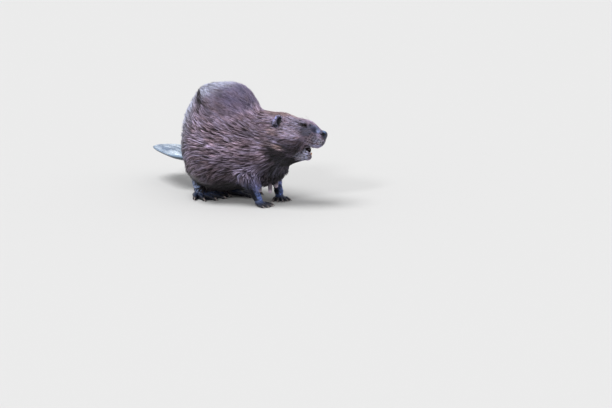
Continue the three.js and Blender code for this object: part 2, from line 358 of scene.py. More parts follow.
def coatDepth(p):
    h, inHead = headParts(p)
    depth = mix(13.0, 4.5, inHead)
    depth = mix(depth, 2.0, inHead * ramp(h[:, 0], 15, 60))
    depth = mix(depth, 0.5, inHead * ramp(h[:, 0], 85, 112))
    depth = np.minimum(depth, 0.4 + 0.19 * np.maximum(p[:, 2] - 20, 0))
    return mix(depth, 0.0, tailShare(p)[1])


# Where the hair stands off the body: along the upper rim of the rump.
def standing(p):
    return np.exp(-(((p[:, 0] + 110) / 42) ** 2 + ((p[:, 2] - 222) / 62) ** 2))


# How much the coat's envelope is drawn in, or let out where wisps would leave it short.
def trim(p):
    h, inHead = headParts(p)
    crest = 4.5 * np.exp(-(((p[:, 0] - 32) / 30) ** 2 + ((p[:, 2] - 262) / 30) ** 2))
    rump = 4.0 * ramp(-p[:, 0], 95, 140) * ramp(p[:, 2], 60, 100) * (1 - ramp(p[:, 2], 200, 240))
    rump = rump * (1 - tailShare(p)[1]) - 4.0 * standing(p)
    lip = 2.0 * inHead * np.exp(-(((h[:, 0] - 112) / 16) ** 2 + ((h[:, 2] + 44) / 8) ** 2))
    shoulder = 7.5 * np.exp(-(((p[:, 0] + 92) / 26) ** 2 + ((p[:, 2] - 268) / 22) ** 2))
    breast = 8.5 * (1 - inHead) * np.exp(-(((p[:, 0] - 120) / 24) ** 2 + ((p[:, 2] - 98) / 30) ** 2))
    udder = 6.0 * np.exp(-(((p[:, 0] - 78) / 34) ** 2 + (p[:, 1] / 34) ** 2 + ((p[:, 2] - 38) / 16) ** 2))
    return crest - rump + lip - shoulder - breast + udder


# The skin's own forms: lids, ears, nostrils and mouth.
def lidFrame(side):
    return headFrame @ frameAt(eyeAt(side), 0, -6, side * 66)


def earHollow(q):
    return ellipsoid((6, 3.0, 2.4), (9.4, 8.4, 10.6))(q)


def earForm(q):
    cup = ellipsoid((0, 1.4, 0), (7.4, 9.0, 12.4))(q)
    cup = carve(1.2, cup, earHollow(q))
    return soften(cup, ellipsoid((3.5, -2, -10), (4, 4.5, 3.2))(q), 2)


def mouthForm(h):
    return ellipsoid((119, 0, -52), (31, 40, 6.5))(h)


def mouthCorner(h, side):
    return ellipsoid((92, side * 21, -46), (8, 9, 5.0))(h)


def nostril(h, side):
    return limb((116.0, side * 13.0, -3.0), (111.0, side * 14.5, -5.4), 3.4, 2.0)(h)


def lidOpening(e):
    wide, high = 6.2, 2.7
    above = e[:, 2] - 0.3 - 0.10 * e[:, 1] + 0.03 * e[:, 1] ** 2
    return np.hypot((e[:, 1] + 0.4) / wide, above / high) * high - high


def faceForms(d, p):
    h = inFrame(headFrame, p)
    for s in sides.values():
        d = soften(d, limb((115, s * 5, -37.5), (96, s * 18, -40.5), 3.0, 2.4)(h), 3)  # upper lip
        d = soften(d, limb((104, s * 5, -62), (86, s * 14, -57), 2.6, 2.4)(h), 3)  # lower lip
        d = soften(d, limb((77, s * 22.5, 3.6), (57, s * 28, 4.8), 2.4, 2.2)(h), 4)  # brow
        d = soften(d, limb((120, s * 8.5, -0.5), (110, s * 13.0, 0.8), 2.4, 2.0)(h), 2.5)  # nostril rim
        d = soften(d, ellipsoid((46, s * 42, -40), (22, 8, 14))(h), 10)  # cheekbone
        e = mirrored(lidFrame(s), p, s)
        d = soften(d, ellipsoid((0, 0, 0), (7.1, 7.4, 7.1))(e), 2.5)  # lids
        d = carve(1.5, d, limb((6.6, -8.5, 5.6), (7.0, 3.5, 6.6), 0.9, 0.9)(e))  # fold over the lid
        d = carve(1.5, d, limb((7.0, 3.5, 6.6), (6.2, 8.2, -1.5), 1.1, 0.8)(e))  # and down in front of it
        d = soften(d, limb((4.9, -5.5, -4.4), (4.9, 5.5, -4.4), 1.7, 1.7)(e), 2)  # bag under the eye
        d = carve(1.2, d, limb((5.0, -6.0, -0.8), (3.5, -12.0, -0.4), 0.9, 0.5)(e))  # corner of the eye
        opening = np.maximum(lidOpening(e), -e[:, 0])
        d = carve(1.0, d, np.minimum(opening, ellipsoid((0, 0, 0), (5.75, 5.75, 5.75))(e)))
        d = soften(d, earForm(mirrored(earFrame(s), p, s)), 3)
        d = carve(1.2, d, nostril(h, s))
    d = soften(d, ellipsoid((103, 0, -69), (8, 10, 8))(h), 4)  # chin
    d = carve(2.0, d, mouthForm(h))
    for s in sides.values():
        d = carve(2.0, d, mouthCorner(h, s))
    d = soften(d, limb((66, 0, -56), (95, 0, -54), 14, 8)(h), 1.5)  # what closes the mouth behind the teeth
    d = soften(d, ellipsoid((90, 0, -56), (13.5, 7, 7.5))(h), 1.5)  # and the tongue before it
    return carve(1.5, d, limb((127, 0, -12), (123, 0, -38), 1.3, 1.0)(h))  # cleft of the lip


# Teats: place, then how far the tip hangs; those of the left side lie drawn in.
teats = [(x, s * 17, 27 if s < 0 else 34) for x in (62, 90) for s in sides.values()]


def skinField(p):
    d = flesh(p) + coatDepth(p) + trim(p)
    close = headParts(p)[1] > 0.02
    if close.any():
        d[close] = faceForms(d[close], p[close])
    for x, y, tip in teats:
        d = soften(d, ellipsoid((x, y, tip + 16), (5.4, 5.4, 12))(p), 3)
        d = soften(d, ellipsoid((x, y, tip + 6), (4.8, 4.8, 6))(p), 2)
    return np.maximum(d, -p[:, 2])


skin = {"cell": 1.0, "block": 4, "low": (-312, -106, -6), "high": (228, 210, 300), "triangles": 190000}
pool = ThreadPoolExecutor(4)


def evaluate(field, points, chunk=60000):
    parts = [points[n : n + chunk] for n in range(0, len(points), chunk)]
    return np.concatenate(list(pool.map(field, parts)))


def netOf(field, low, high, cell, block):
    low = np.float32(low)
    count = np.ceil((np.float32(high) - low) / cell / block).astype(int)
    lattice = np.stack(np.meshgrid(*[np.arange(n) for n in count], indexing="ij"), -1).reshape(-1, 3)
    lattice = lattice.astype(np.float32)
    coarse = evaluate(field, low + (lattice * block + (block - 1) / 2) * cell)
    far = block * cell
    near = np.abs(coarse) < far * 1.3
    values = np.where(coarse < 0, -far, far).astype(np.float32).reshape(count)
    for axis in range(3):
        values = np.repeat(values, block, axis)
    spread = np.stack(np.meshgrid(*[np.arange(block)] * 3, indexing="ij"), -1).reshape(-1, 3)
    fine = (lattice[near][:, None] * block + spread[None]).reshape(-1, 3).astype(np.int32)
    found = evaluate(field, low + fine.astype(np.float32) * cell)
    values[fine[:, 0], fine[:, 1], fine[:, 2]] = np.clip(found, -far, far)
    grid = vdb.FloatGrid(far)
    grid.copyFromArray(values)
    points, _, quads = grid.convertToPolygons(isovalue=0.0, adaptivity=0.0)
    return low + points * cell, quads


def slopeOf(field, points, step=0.5):
    here = evaluate(field, points)
    moved = [evaluate(field, points + np.float32(step) * axis) for axis in np.eye(3, dtype=np.float32)]
    return here, (np.stack(moved, 1) - here[:, None]) / step


def settle(field, points, most):
    here, slope = slopeOf(field, points)
    size = np.maximum((slope * slope).sum(1), 0.2)
    return points - slope * np.clip(here / size, -most, most)[:, None]


def meshFrom(name, points, faces):
    mesh = bpy.data.meshes.new(name)
    mesh.vertices.add(len(points))
    mesh.vertices.foreach_set("co", np.asarray(points, np.float32).ravel())
    mesh.loops.add(faces.size)
    mesh.loops.foreach_set("vertex_index", faces.astype(np.int32).ravel())
    mesh.polygons.add(len(faces))
    mesh.polygons.foreach_set("loop_start", np.arange(0, faces.size, faces.shape[1], dtype=np.int32))
    mesh.update(calc_edges=True)
    mesh.validate()
    return mesh


def objectOf(name, mesh):
    piece = bpy.data.objects.new(name, mesh)
    bpy.context.scene.collection.objects.link(piece)
    return piece


def coordinates(mesh):
    points = np.empty(len(mesh.vertices) * 3, np.float32)
    mesh.vertices.foreach_get("co", points)
    return points.reshape(-1, 3)


def smoothPiece(name, mesh, material):
    mesh.shade_smooth()
    mesh.materials.append(material)
    return objectOf(name, mesh)


def plainMesh(piece):
    bpy.context.view_layer.update()
    graph = bpy.context.evaluated_depsgraph_get()
    made = bpy.data.meshes.new_from_object(piece.evaluated_get(graph))
    piece.modifiers.clear()
    piece.data = made
    made.name = piece.name
    return made


def makeSkin():
    points, quads = netOf(skinField, skin["low"], skin["high"], skin["cell"], skin["block"])
    points = settle(skinField, points, skin["cell"] / 2)
    piece = objectOf("skin", meshFrom("skin", toPart(points), quads))
    thin = piece.modifiers.new("thin", "DECIMATE")
    thin.ratio = skin["triangles"] / (2 * len(quads))
    plainMesh(piece)
    piece.data.shade_smooth()
    return piece


skinPiece = makeSkin()
print("skin", len(skinPiece.data.polygons), "faces")


def unwrap(piece):
    piece.data.uv_layers.new(name="OFBake")
    bpy.ops.object.select_all(action="DESELECT")
    bpy.context.view_layer.objects.active = piece
    piece.select_set(True)
    bpy.ops.object.mode_set(mode="EDIT")
    bpy.ops.mesh.select_all(action="SELECT")
    bpy.ops.uv.smart_project(angle_limit=math.radians(75), island_margin=0.002)
    bpy.ops.object.mode_set(mode="OBJECT")


unwrap(skinPiece)
print("unwrapped")


# x, z, angle and weight: hair points backwards, turned up by the angle in degrees.
flow = [
    (100, 175, 3, 1), (92, 120, -6, 1), (60, 215, 22, 1), (45, 262, 45, 1),
    (20, 175, 26, 1.2), (-30, 190, 32, 1.2), (-5, 218, 24, 1.2), (-30, 148, 8, 1.5), (30, 140, 8, 1.2),
    (-10, 290, 5, 1), (-55, 275, 25, 1), (-105, 240, 62, 1.6), (-140, 195, 45, 1.2),
    (-155, 120, -60, 1.2), (-90, 150, 15, 1), (-110, 90, -45, 1), (0, 90, -10, 1.4),
    (50, 100, -8, 1), (-60, 70, -15, 1), (10, 20, 0, 1.5), (105, 85, -75, 1),
]
flowReach = 34.0


def waves(p, length, seed):
    rng = np.random.default_rng(seed)
    total = np.zeros(len(p), np.float32)
    for octave in (1.0, 0.55, 0.3):
        for _ in range(3):
            way = rng.normal(size=3)
            way *= 2 * math.pi / (np.linalg.norm(way) * length * octave * rng.uniform(0.8, 1.25))
            total += octave * np.sin(p @ way.astype(np.float32) + np.float32(rng.uniform(0, 6.3)))
    return total / 2.2


def unit(v):
    return v / np.maximum(np.linalg.norm(v, axis=-1, keepdims=True), 1e-6)


def limbShare(p, foot, near, far):
    d = limb(foot["top"], foot["heel"], 26, 12)(p)
    return 1 - ramp(d, near, far)


def lieAt(p, normal, wander):
    x, z = p[:, 0:1], p[:, 2:3]
    spots = np.float32(flow)
    far = (x - spots[:, 0]) ** 2 + (z - spots[:, 1]) ** 2
    weight = spots[:, 3] * np.exp(-far / (2 * flowReach**2)) + 1e-9
    angle = np.radians(spots[:, 2])
    way = np.stack([-(weight @ np.cos(angle)), 0 * x[:, 0], weight @ np.sin(angle)], 1)
    way = unit(way)
    way[:, 1] += 0.12 * np.tanh(p[:, 1] / 30) * (p[:, 2] > 60)
    behind = ramp(-normal[:, 0], 0.55, 0.9) * (1 - ramp(np.abs(normal[:, 1]), 0.05, 0.42))
    behind = behind * ramp(-p[:, 0], 60, 90)  # there the hair hangs down, towards the tail
    inward = -0.4 * np.tanh((p[:, 1] - 8) / 30)
    way = mix(way, np.stack([0 * inward - 0.1, inward, 0 * inward - 0.9], 1), behind[:, None])
    h, inHead = headParts(p)
    ahead = turnOf(headFrame)[:, 0]
    rise = mix(-0.06, 0.12, ramp(-h[:, 2], 35, 60))
    back = np.stack([0 * rise - ahead[0], 0 * rise - ahead[1], rise], 1)
    way = mix(way, back, inHead[:, None])
    for s in sides.values():
        q = mirrored(earFrame(s), p, s)
        outward = np.stack([0.35 + 0 * q[:, 0], -s * q[:, 1], q[:, 2]], 1) @ turnOf(earFrame(s)).T
        way = mix(way, unit(outward), (inHead * ramp(-earForm(q), -3.0, -1.0))[:, None])
    for foot in feet.values():
        down = unit(np.float32(foot["heel"]) - np.float32(foot["top"]))
        share = limbShare(p, foot, 2, 12) * (1 - ramp(p[:, 2], 62, 92))
        way = mix(way, down + np.float32((0, 0, -0.3)), share[:, None])
        ahead = math.radians(foot["turn"])
        toes = np.float32((math.cos(ahead), math.sin(ahead), -0.2))
        near = 1 - ramp(np.hypot(p[:, 0] - foot["ball"][0], p[:, 1] - foot["ball"][1]), 26, 40)
        way = mix(way, toes, (near * (1 - ramp(p[:, 2], 14, 26)))[:, None])
    t, _ = tailShare(p)
    toTail = turnOf(tailFrame)[:, 0]
    onTail = ramp(t[:, 0], -16, 20) * (1 - ramp(np.hypot(t[:, 1], t[:, 2]), 40, 62))
    way = unit(mix(way, toTail, onTail[:, None]))
    way -= normal * (way * normal).sum(1, keepdims=True)
    way = unit(way)
    across = np.cross(normal, way)
    turn = np.radians(wander)[:, None] * (waves(p, 46, 5) + 0.6 * waves(p, 17, 6))[:, None]
    return way * np.cos(turn) + across * np.sin(turn)


# Lock length and width, locks for an area, pull into wisps, strength of tone, gap between bundles
# and closeness of wisps. On the head each is given at places from the nape to the nose.
bodyCoat = {"length": 30.0, "width": 1.9, "cover": 31.0, "pull": 1, "strong": 1.25, "gap": 5.0, "tight": 1.0}
headCoat = {
    "length": ((-40, 0, 30, 60, 76, 95), (27, 23, 20, 14, 6.5, 4.0)),
    "width": ((-40, 0, 30, 60, 95), (1.7, 1.3, 1.05, 0.85, 0.6)),
    "cover": ((-40, 0, 30, 60, 95), (42, 76, 120, 190, 230)),
    "pull": ((-40, 0, 30, 60, 76, 95), (0.95, 0.92, 0.9, 0.85, 0.4, 0.2)),
    "strong": ((-40, 0, 30, 60, 76, 90, 110), (1.4, 1.3, 1.35, 1.3, 0.4, 0.8, 1.1)),
    "gap": ((-40, 0, 30, 60, 95), (4.6, 4.0, 3.2, 2.8, 2.6)),
    "tight": ((-40, 0, 40), (1.2, 1.9, 2.8)),
}
jowlCoat = {"pull": 0.9, "strong": 2.6}
jawCoat = {"length": 8.5, "pull": 0.7, "strong": 1.7}
earCoat = {"length": 3.2, "width": 0.7, "cover": 260}
legCoat = {"width": 1.1, "cover": 55, "strong": 0.95, "pull": 0.6, "gap": 3.6, "tight": 1.6}
legLength = ((14, 30, 60, 80), (4, 7, 12, 18))  # by height over the floor
chestLength = 6.0


def mixIn(values, wanted, share):
    for name, value in wanted.items():
        values[name] = mix(values[name], value, share)


def coverOf(p):
    h, inHead = headParts(p)
    hump = np.exp(-((((p[:, 0] - 8) / 62) ** 2 + ((p[:, 2] - 240) / 48) ** 2) ** 1.6))
    body = dict(bodyCoat)
    body["pull"] = bodyCoat["pull"] - 0.88 * hump
    body["strong"] = bodyCoat["strong"] - 0.95 * hump
    body["gap"] = bodyCoat["gap"] - 0.8 * ramp(-p[:, 0], 90, 150)
    cover = {name: mix(body[name], np.interp(h[:, 0], *headCoat[name]), inHead) for name in headCoat}
    jaw = inHead * ramp(-h[:, 2], 54, 62) * ramp(h[:, 0], 60, 74)
    mixIn(cover, jowlCoat, inHead * ramp(-h[:, 2], 40, 56) * ramp(h[:, 0], 10, 30) * (1 - jaw))
    mixIn(cover, jawCoat, jaw)
    low = 1 - ramp(p[:, 2], 30, 62)
    cover["length"] = cover["length"] * mix(1, mix(0.65, 0.32, ramp(p[:, 0], 30, 60)), low)
    cover["cover"] = cover["cover"] * mix(1, 0.75, low)
    for s in sides.values():
        q = mirrored(earFrame(s), p, s)
        beside = np.exp(-((q[:, 0] - 4) ** 2 + (q[:, 1] - 8) ** 2 + q[:, 2] ** 2) / 17.0**2)
        cover["length"] = cover["length"] * (1 - 0.72 * inHead * beside)
        e = mirrored(lidFrame(s), p, s)
        cover["length"] = cover["length"] * (1 - 0.4 * inHead * np.exp(-(e * e).sum(1) / 12.0**2))
    mixIn(cover, earCoat, onEar(p, inHead))
    onLeg = np.zeros(len(p), np.float32)
    for foot in feet.values():
        onLeg = np.maximum(onLeg, limbShare(p, foot, 3, 12) * (1 - ramp(p[:, 2], 58, 88)))
    cover["length"] = mix(cover["length"], np.interp(p[:, 2], *legLength), onLeg)
    mixIn(cover, legCoat, onLeg)
    chest = ramp(p[:, 0], 36, 52) * (1 - ramp(p[:, 2], 76, 108)) * (1 - onLeg)
    cover["length"] = mix(cover["length"], chestLength, chest * (1 - inHead))
    t, _ = tailShare(p)
    atTail = 0.6 * ramp(t[:, 0], 4, 40) * (1 - ramp(np.hypot(t[:, 1], t[:, 2]), 36, 60))
    cover["length"] = cover["length"] * (1 - atTail)
    return cover


def footShare(p):
    share = np.zeros(len(p), np.float32)
    low = p[:, 2] < 22
    q = p[low]
    found = np.zeros(len(q), np.float32)
    for name in feet:
        reach = pawShapes[name[:4]]["bare"]
        near = 1 - ramp(farFrom(q, name), reach * 0.9, reach)
        found = np.maximum(found, near * (1 - ramp(q[:, 2], 12, 20)) * (1 - ramp(toesForms[name](q), 2, 6)))
    share[low] = found
    return share


# How far each place is bare: nose, mouth, ears, lids, feet and tail.
def barePlaces(p):
    h, inHead = headParts(p)
    nose = inHead * (1 - ramp(ellipsoid((118.5, 0, -5), (12.5, 16.5, 12.5))(h), -1.0, 1.0))
    inner = np.minimum(mouthForm(h), np.minimum(mouthCorner(h, 1), mouthCorner(h, -1)))
    mouth = inHead * (1 - ramp(inner, 0.2, 1.6)) * ramp(h[:, 0], 80, 88)
    ear, lid = 0 * nose, 0 * nose
    for s in sides.values():
        ear = np.maximum(ear, 1 - ramp(earHollow(mirrored(earFrame(s), p, s)), 0.0, 1.2))
        e = mirrored(lidFrame(s), p, s)
        corner = limb((5.0, -6.0, -0.8), (3.5, -12.5, -0.4), 1.2, 0.8)(e)
        # painted shade: the fold in front of the eye is darkened along with the lids
        crescent = limb((7.0, 3.5, 6.6), (6.2, 8.2, -1.5), 1.6, 1.2)(e)
        dark = np.minimum(np.minimum(lidOpening(e), corner), crescent)
        lid = np.maximum(lid, (e[:, 0] > 0) * (1 - ramp(dark, 0.9, 2.6)))
    teat = 0 * nose
    for x, y, _ in teats:
        teat = np.maximum(teat, (1 - ramp(np.hypot(p[:, 0] - x, p[:, 1] - y), 8, 11)) * (p[:, 2] < 62))
    return {
        "nose": nose, "mouth": mouth, "ear": ear * inHead, "lid": lid * inHead,
        "foot": footShare(p), "tail": tailShare(p)[1], "teat": teat,
    }


# Frame, centre, radii and colour; those of the sides and the head lie on both sides. Some are the coat's own
# colour, some painted highlights or painted shade, as noted.
marksAndPaintedLight = [
    ("body", (-50, 0, 262), (90, 90, 62), (0.235, 0.190, 0.270)),
    ("body", (20, 0, 246), (50, 80, 46), (0.215, 0.180, 0.290)),
    ("sides", (-20, 90, 222), (90, 60, 26), (0.236, 0.191, 0.265)),
    # painted highlight: the top of the back lighter, as lit from above
    ("body", (-30, 0, 296), (110, 140, 24), (0.430, 0.380, 0.520)),
    ("sides", (78, 70, 180), (52, 60, 30), (0.300, 0.240, 0.320)),
    ("sides", (14, 96, 146), (76, 60, 18), (0.520, 0.415, 0.545)),
    ("body", (-140, 0, 140), (60, 110, 100), (0.220, 0.200, 0.265)),
    # painted shade: the lower flanks darker, and the belly near-black underneath
    ("body", (0, 0, 62), (160, 140, 50), (0.165, 0.130, 0.170)),
    ("body", (0, 0, 34), (180, 150, 40), (0.016, 0.013, 0.018)),
    # painted shade low on the haunches, under the rump
    ("sides", (-112, 40, 70), (34, 60, 26), (0.070, 0.058, 0.078)),
    # painted shade on the chest under the head
    ("body", (112, 0, 92), (54, 62, 50), (0.050, 0.046, 0.066)),
    ("body", (134, -10, 98), (18, 60, 24), (0.105, 0.094, 0.135)),
    ("sides", (74, 66, 115), (38, 40, 14), (0.215, 0.170, 0.230)),
    ("sides", (64, 70, 87), (24, 34, 18), (0.540, 0.490, 0.740)),
    ("head", (-50, 0, 10), (60, 60, 34), (0.310, 0.220, 0.240)),
    ("head", (14, 0, 4), (50, 34, 16), (0.350, 0.255, 0.265)),
    ("head", (15, 48, -38), (20, 14, 8), (0.385, 0.285, 0.320)),
    # painted highlight on the cheek
    ("head", (44, 42, -22), (34, 22, 16), (0.480, 0.410, 0.540)),
    ("head", (54, 24, -2), (26, 16, 14), (0.440, 0.395, 0.540)),
    ("head", (60, 46, -50), (36, 22, 12), (0.135, 0.105, 0.140)),
    ("head", (76, 40, -42), (20, 20, 9), (0.130, 0.100, 0.130)),
    ("head", (66, 36, -64), (40, 24, 15), (0.060, 0.046, 0.064)),
    ("head", (-14, 34, -30), (24, 20, 18), (0.270, 0.205, 0.285)),
    ("head", (18, 44, -72), (18, 16, 11), (0.170, 0.128, 0.150)),
    # painted shade under the jaw
    ("head", (46, 42, -89), (36, 26, 19), (0.010, 0.006, 0.009)),
    ("head", (14, 40, -93), (10, 16, 8), (0.120, 0.085, 0.105)),
    ("head", (38, 46, -70), (15, 14, 6.5), (0.330, 0.232, 0.235)),
    ("head", (79, 31, -9), (15, 14, 14), (0.165, 0.160, 0.225)),
    ("head", (84, 22, 3), (7, 8, 5), (0.160, 0.165, 0.260)),
    # painted highlight along the top of the nose
    ("head", (100, 16, 1), (16, 12, 9), (0.280, 0.310, 0.500)),
    ("head", (95, 21, -2), (10, 9, 7), (0.080, 0.085, 0.150)),
    # painted highlight: its brightest spot
    ("head", (103, 15, -1), (6, 8, 5), (0.440, 0.480, 0.740)),
    ("head", (95, 29, -25), (7, 10, 13), (0.520, 0.420, 0.520)),
    ("head", (106, 26, -20), (11, 10, 11), (0.350, 0.320, 0.420)),
    ("head", (119, 18, -21), (6, 8, 10), (0.480, 0.450, 0.530)),
    ("head", (125, 7, -23), (5, 9, 10), (0.200, 0.190, 0.240)),
    ("head", (101, 23, -38), (9, 10, 4.5), (0.380, 0.360, 0.520)),
    ("head", (112, 22, -34), (9, 10, 4.5), (0.420, 0.400, 0.570)),
    ("head", (121, 15, -30), (7, 10, 4.5), (0.420, 0.400, 0.570)),
    # painted shade: a dark line under the upper lip, over the mouth's gap
    ("head", (110, 16, -44), (18, 16, 3.5), (0.030, 0.030, 0.055)),
    # painted shade under the chin and throat
    ("head", (54, 0, -92), (62, 40, 24), (0.008, 0.006, 0.010)),
    ("head", (90, 10, -70), (24, 22, 13), (0.380, 0.370, 0.470)),
    ("head", (97, 12, -60), (9, 10, 8), (0.520, 0.510, 0.640)),
    ("head", (10, 42, -23), (6, 9, 4.5), (0.850, 0.820, 0.900)),
    # painted shade under the chin
    ("head", (70, 20, -96), (50, 30, 10), (0.012, 0.010, 0.016)),
]
baseColour = (0.405, 0.325, 0.440)
# A parting high on the right of the rump: painted near-black as the shade inside it, and given no glint.
notch = ((-96, -16, 254), (-70, -56, 228), 5.0, 7.5)
notchShade = (0.040, 0.032, 0.044)
warm, cool = (1.12, 0.97, 0.86), (0.93, 1.0, 1.10)
# Bare skin: the mouth's near-black is painted shade, and the tail's pale blue is a painted reflection of the
# sky.
bareColours = {
    "nose": (0.005, 0.011, 0.040), "mouth": (0.006, 0.004, 0.006), "ear": (0.230, 0.240, 0.430),
    "lid": (0.026, 0.023, 0.034), "foot": (0.018, 0.022, 0.048), "tail": (0.240, 0.340, 0.480),
    "teat": (0.016, 0.013, 0.018),
}
# Painted sheen: the forelegs' fronts light blue, bluest at the wrists.
armFrontSheen, wristSheen = (0.440, 0.450, 0.840), (0.270, 0.390, 0.860)
# The hind legs' colour, then a painted highlight: a pale blue glint down the right hind heel.
thighColour, heelGlintColour = (0.075, 0.068, 0.090), (0.42, 0.58, 1.00)
earRimHighlight, earShadow = (0.620, 0.620, 0.980), (0.012, 0.014, 0.040)
whiskerDots = {"columns": 5, "rows": 4, "size": 2.0, "dark": 0.95}
tipGlintShares = {"rim": 1.7, "corner": 1.8, "ridge": 1.8, "heel": 0.35}


# Where the painted glint runs down the right hind heel.
def heelGlint(p):
    return 1 - ramp(limb((-108, -23, 42), (-98, -24, 12), 7, 7)(p), -2, 3)


def peltAt(p):
    colour = np.tile(np.float32(baseColour), (len(p), 1))
    h, inHead = headParts(p)
    flip = np.float32((1, -1, 1))
    side = np.where(h[:, 1:2] < 0, h * flip, h)
    places = {"body": p, "sides": np.where(p[:, 1:2] < 0, p * flip, p), "head": side}
    for place, centre, radii, tint in marksAndPaintedLight:
        far = np.linalg.norm((places[place] - np.float32(centre)) / np.float32(radii), axis=1)
        share = 1 - ramp(far, 0.55, 1.25)
        if place == "head":
            share = share * inHead
        colour = mix(colour, np.float32(tint), share[:, None])
    # painted shade inside the rump's parting
    colour = mix(colour, np.float32(notchShade), (1 - ramp(limb(*notch)(p), 0, 6))[:, None])
    # The ears' fur is painted pale blue as a rim highlight, with painted shadow under their lower rear.
    earShare = onEar(p, inHead)
    colour = mix(colour, np.float32(earRimHighlight), earShare[:, None])
    for s in sides.values():
        q = mirrored(earFrame(s), p, s)
        low = (1 - ramp(q[:, 2], -10, -6)) * (1 - ramp(q[:, 1], -4, 2)) * earShare * (np.abs(q).sum(1) < 30)
        colour = mix(colour, np.float32(earShadow), low[:, None])
    # Legs: painted lighter at the front as sheen, darker behind and low down as shade.
    for name, foot in feet.items():
        share = limbShare(p, foot, 2, 10) * (1 - ramp(p[:, 2], 52, 84))
        reach = (foot["heel"][2], foot["top"][2])
        ahead = 0.92 * (p[:, 0] - np.interp(p[:, 2], reach, (foot["heel"][0], foot["top"][0])))
        ahead += 0.38 * (p[:, 1] - np.interp(p[:, 2], reach, (foot["heel"][1], foot["top"][1])))
        front = ramp(ahead / np.interp(p[:, 2], (20, 84), (8, 24)), -0.35, 0.45)
        if name.startswith("hind"):
            tint = np.tile(np.float32(thighColour), (len(p), 1))
        else:
            tint = mix(np.float32(wristSheen), np.float32(armFrontSheen), ramp(p[:, 2], 24, 64)[:, None])
        dark = mix(0.03, 0.5, ramp(p[:, 2], 44, 84))
        colour = mix(colour, tint * mix(dark, 1.0, front)[:, None], share[:, None])
    colour = mix(colour, np.float32(heelGlintColour), heelGlint(p)[:, None])
    dots = whiskerDots
    for column in range(dots["columns"]):
        for row in range(dots["rows"]):
            spot = np.float32((114 - 6.2 * column - 1.4 * row, 24 + 1.6 * column, -12 - 6.4 * row))
            near = (side - spot) * np.float32((1, 0.4, 1))
            dot = dots["dark"] * inHead * np.exp(-(near * near).sum(1) / dots["size"] ** 2)
            colour = colour * (1 - dot)[:, None]
    return np.clip(colour * (1 + 0.16 * waves(p, 38, 11)[:, None]), 0, 1)


# Where the hair's tips are painted pale, as glints of light on the rump's rim, its corner, the ridge of the
# back and the right hind heel.
def tipGlintAt(p):
    rim = np.exp(-(((p[:, 0] + 128) / 27) ** 2 + ((p[:, 2] - 218) / 52) ** 2))
    corner = np.exp(-(((p[:, 0] + 72) / 30) ** 2 + ((p[:, 2] - 266) / 22) ** 2))
    ridge = np.exp(-(((p[:, 0] + 30) / 60) ** 2 + ((p[:, 2] - 292) / 20) ** 2))
    shares = tipGlintShares
    tipGlint = np.clip(shares["rim"] * rim + shares["corner"] * corner + shares["ridge"] * ridge, 0, 1)
    return tipGlint * ramp(limb(*notch)(p), 0, 6) + shares["heel"] * heelGlint(p)


coat = {
    "locks": 106000, "wisps": 25000, "bundleTries": 24000, "seed": 7, "stretch": 3.2, "wander": 8,
    "lift": (0.75, 1.12), "frizz": 0.7, "valley": 0.18, "furrow": 0.34, "short": 14, "rooted": 0.6,
    "guards": 0.12, "guardLength": 1.2, "guardWidth": 0.55, "guardPull": 0.6, "flat": 0.55, "floor": 1.0,
    "toBundle": (0, 0.22, 0.45, 0.62), "toWisp": (0, 0.35, 0.72, 0.95), "flare": (0, 0.1, 0.5, 1),
    "patch": (0.0015, 0.003), "stand": 14, "standLocks": 4.0,
    "bundleLength": (0.95, 1.2), "wispLength": (0.85, 1.15), "lockLength": (0.75, 1.15),
    "bundleRise": (0.9, 1.15), "wispRise": (0.85, 1.1), "guardRise": (1.0, 1.2),
    "bundleTone": 0.22, "guardTone": 0.15, "valleyShade": 1.5, "toneShift": 0.16,
}
profile = np.float32((0.5, 0.85, 1.0))
# Long locks have three rings of corners, short ones two; each list runs from rear to front.
coatParts = {
    3: ("rump", "haunch", "loin", "flank", "side", "shoulder", "neck"),
    2: ("legs", "cheek", "face"),
}
ringsOf = {
    3: {"picked": (0, 1, 2, 3), "taper": (0.8, 1.0, 0.78), "steps": (0, 1 / 3, 2 / 3)},
    2: {"picked": (0, 2, 3), "taper": (0.85, 0.9), "steps": (0, 2 / 3)},
}


def skinTriangles():
    mesh = skinPiece.data
    mesh.calc_loop_triangles()
    corners, loops = np.empty((2, len(mesh.loop_triangles) * 3), np.int32)
    mesh.loop_triangles.foreach_get("vertices", corners)
    mesh.loop_triangles.foreach_get("loops", loops)
    uv = np.empty(len(mesh.loops) * 2, np.float32)
    mesh.uv_layers["OFBake"].data.foreach_get("uv", uv)
    points = coordinates(mesh) / mm - np.float32(origin)
    return points[corners.reshape(-1, 3)], uv.reshape(-1, 2)[loops.reshape(-1, 3)]


def scatter(triangles, uv, weight, count, seed):
    rng = np.random.default_rng(seed)
    ab, ac = triangles[:, 1] - triangles[:, 0], triangles[:, 2] - triangles[:, 0]
    area = np.linalg.norm(np.cross(ab, ac), axis=1) / 2
    chance = np.cumsum((area * weight).astype(np.float64))
    pick = np.searchsorted(chance, (np.arange(count) + rng.random(count)) / count * chance[-1])
    a, b = rng.random((2, count, 1), dtype=np.float32)
    flip = a + b > 1
    a, b = np.where(flip, 1 - a, a), np.where(flip, 1 - b, b)
    shares = (1 - a - b, a, b)
    spots = []
    for corners in (triangles, uv):
        spots.append(sum(share * corners[pick][:, n] for n, share in enumerate(shares)))
    return spots


def normalAt(p):
    here, slope = slopeOf(skinField, p)
    return here, slope / np.maximum((slope * slope).sum(1, keepdims=True), 0.2), unit(slope)


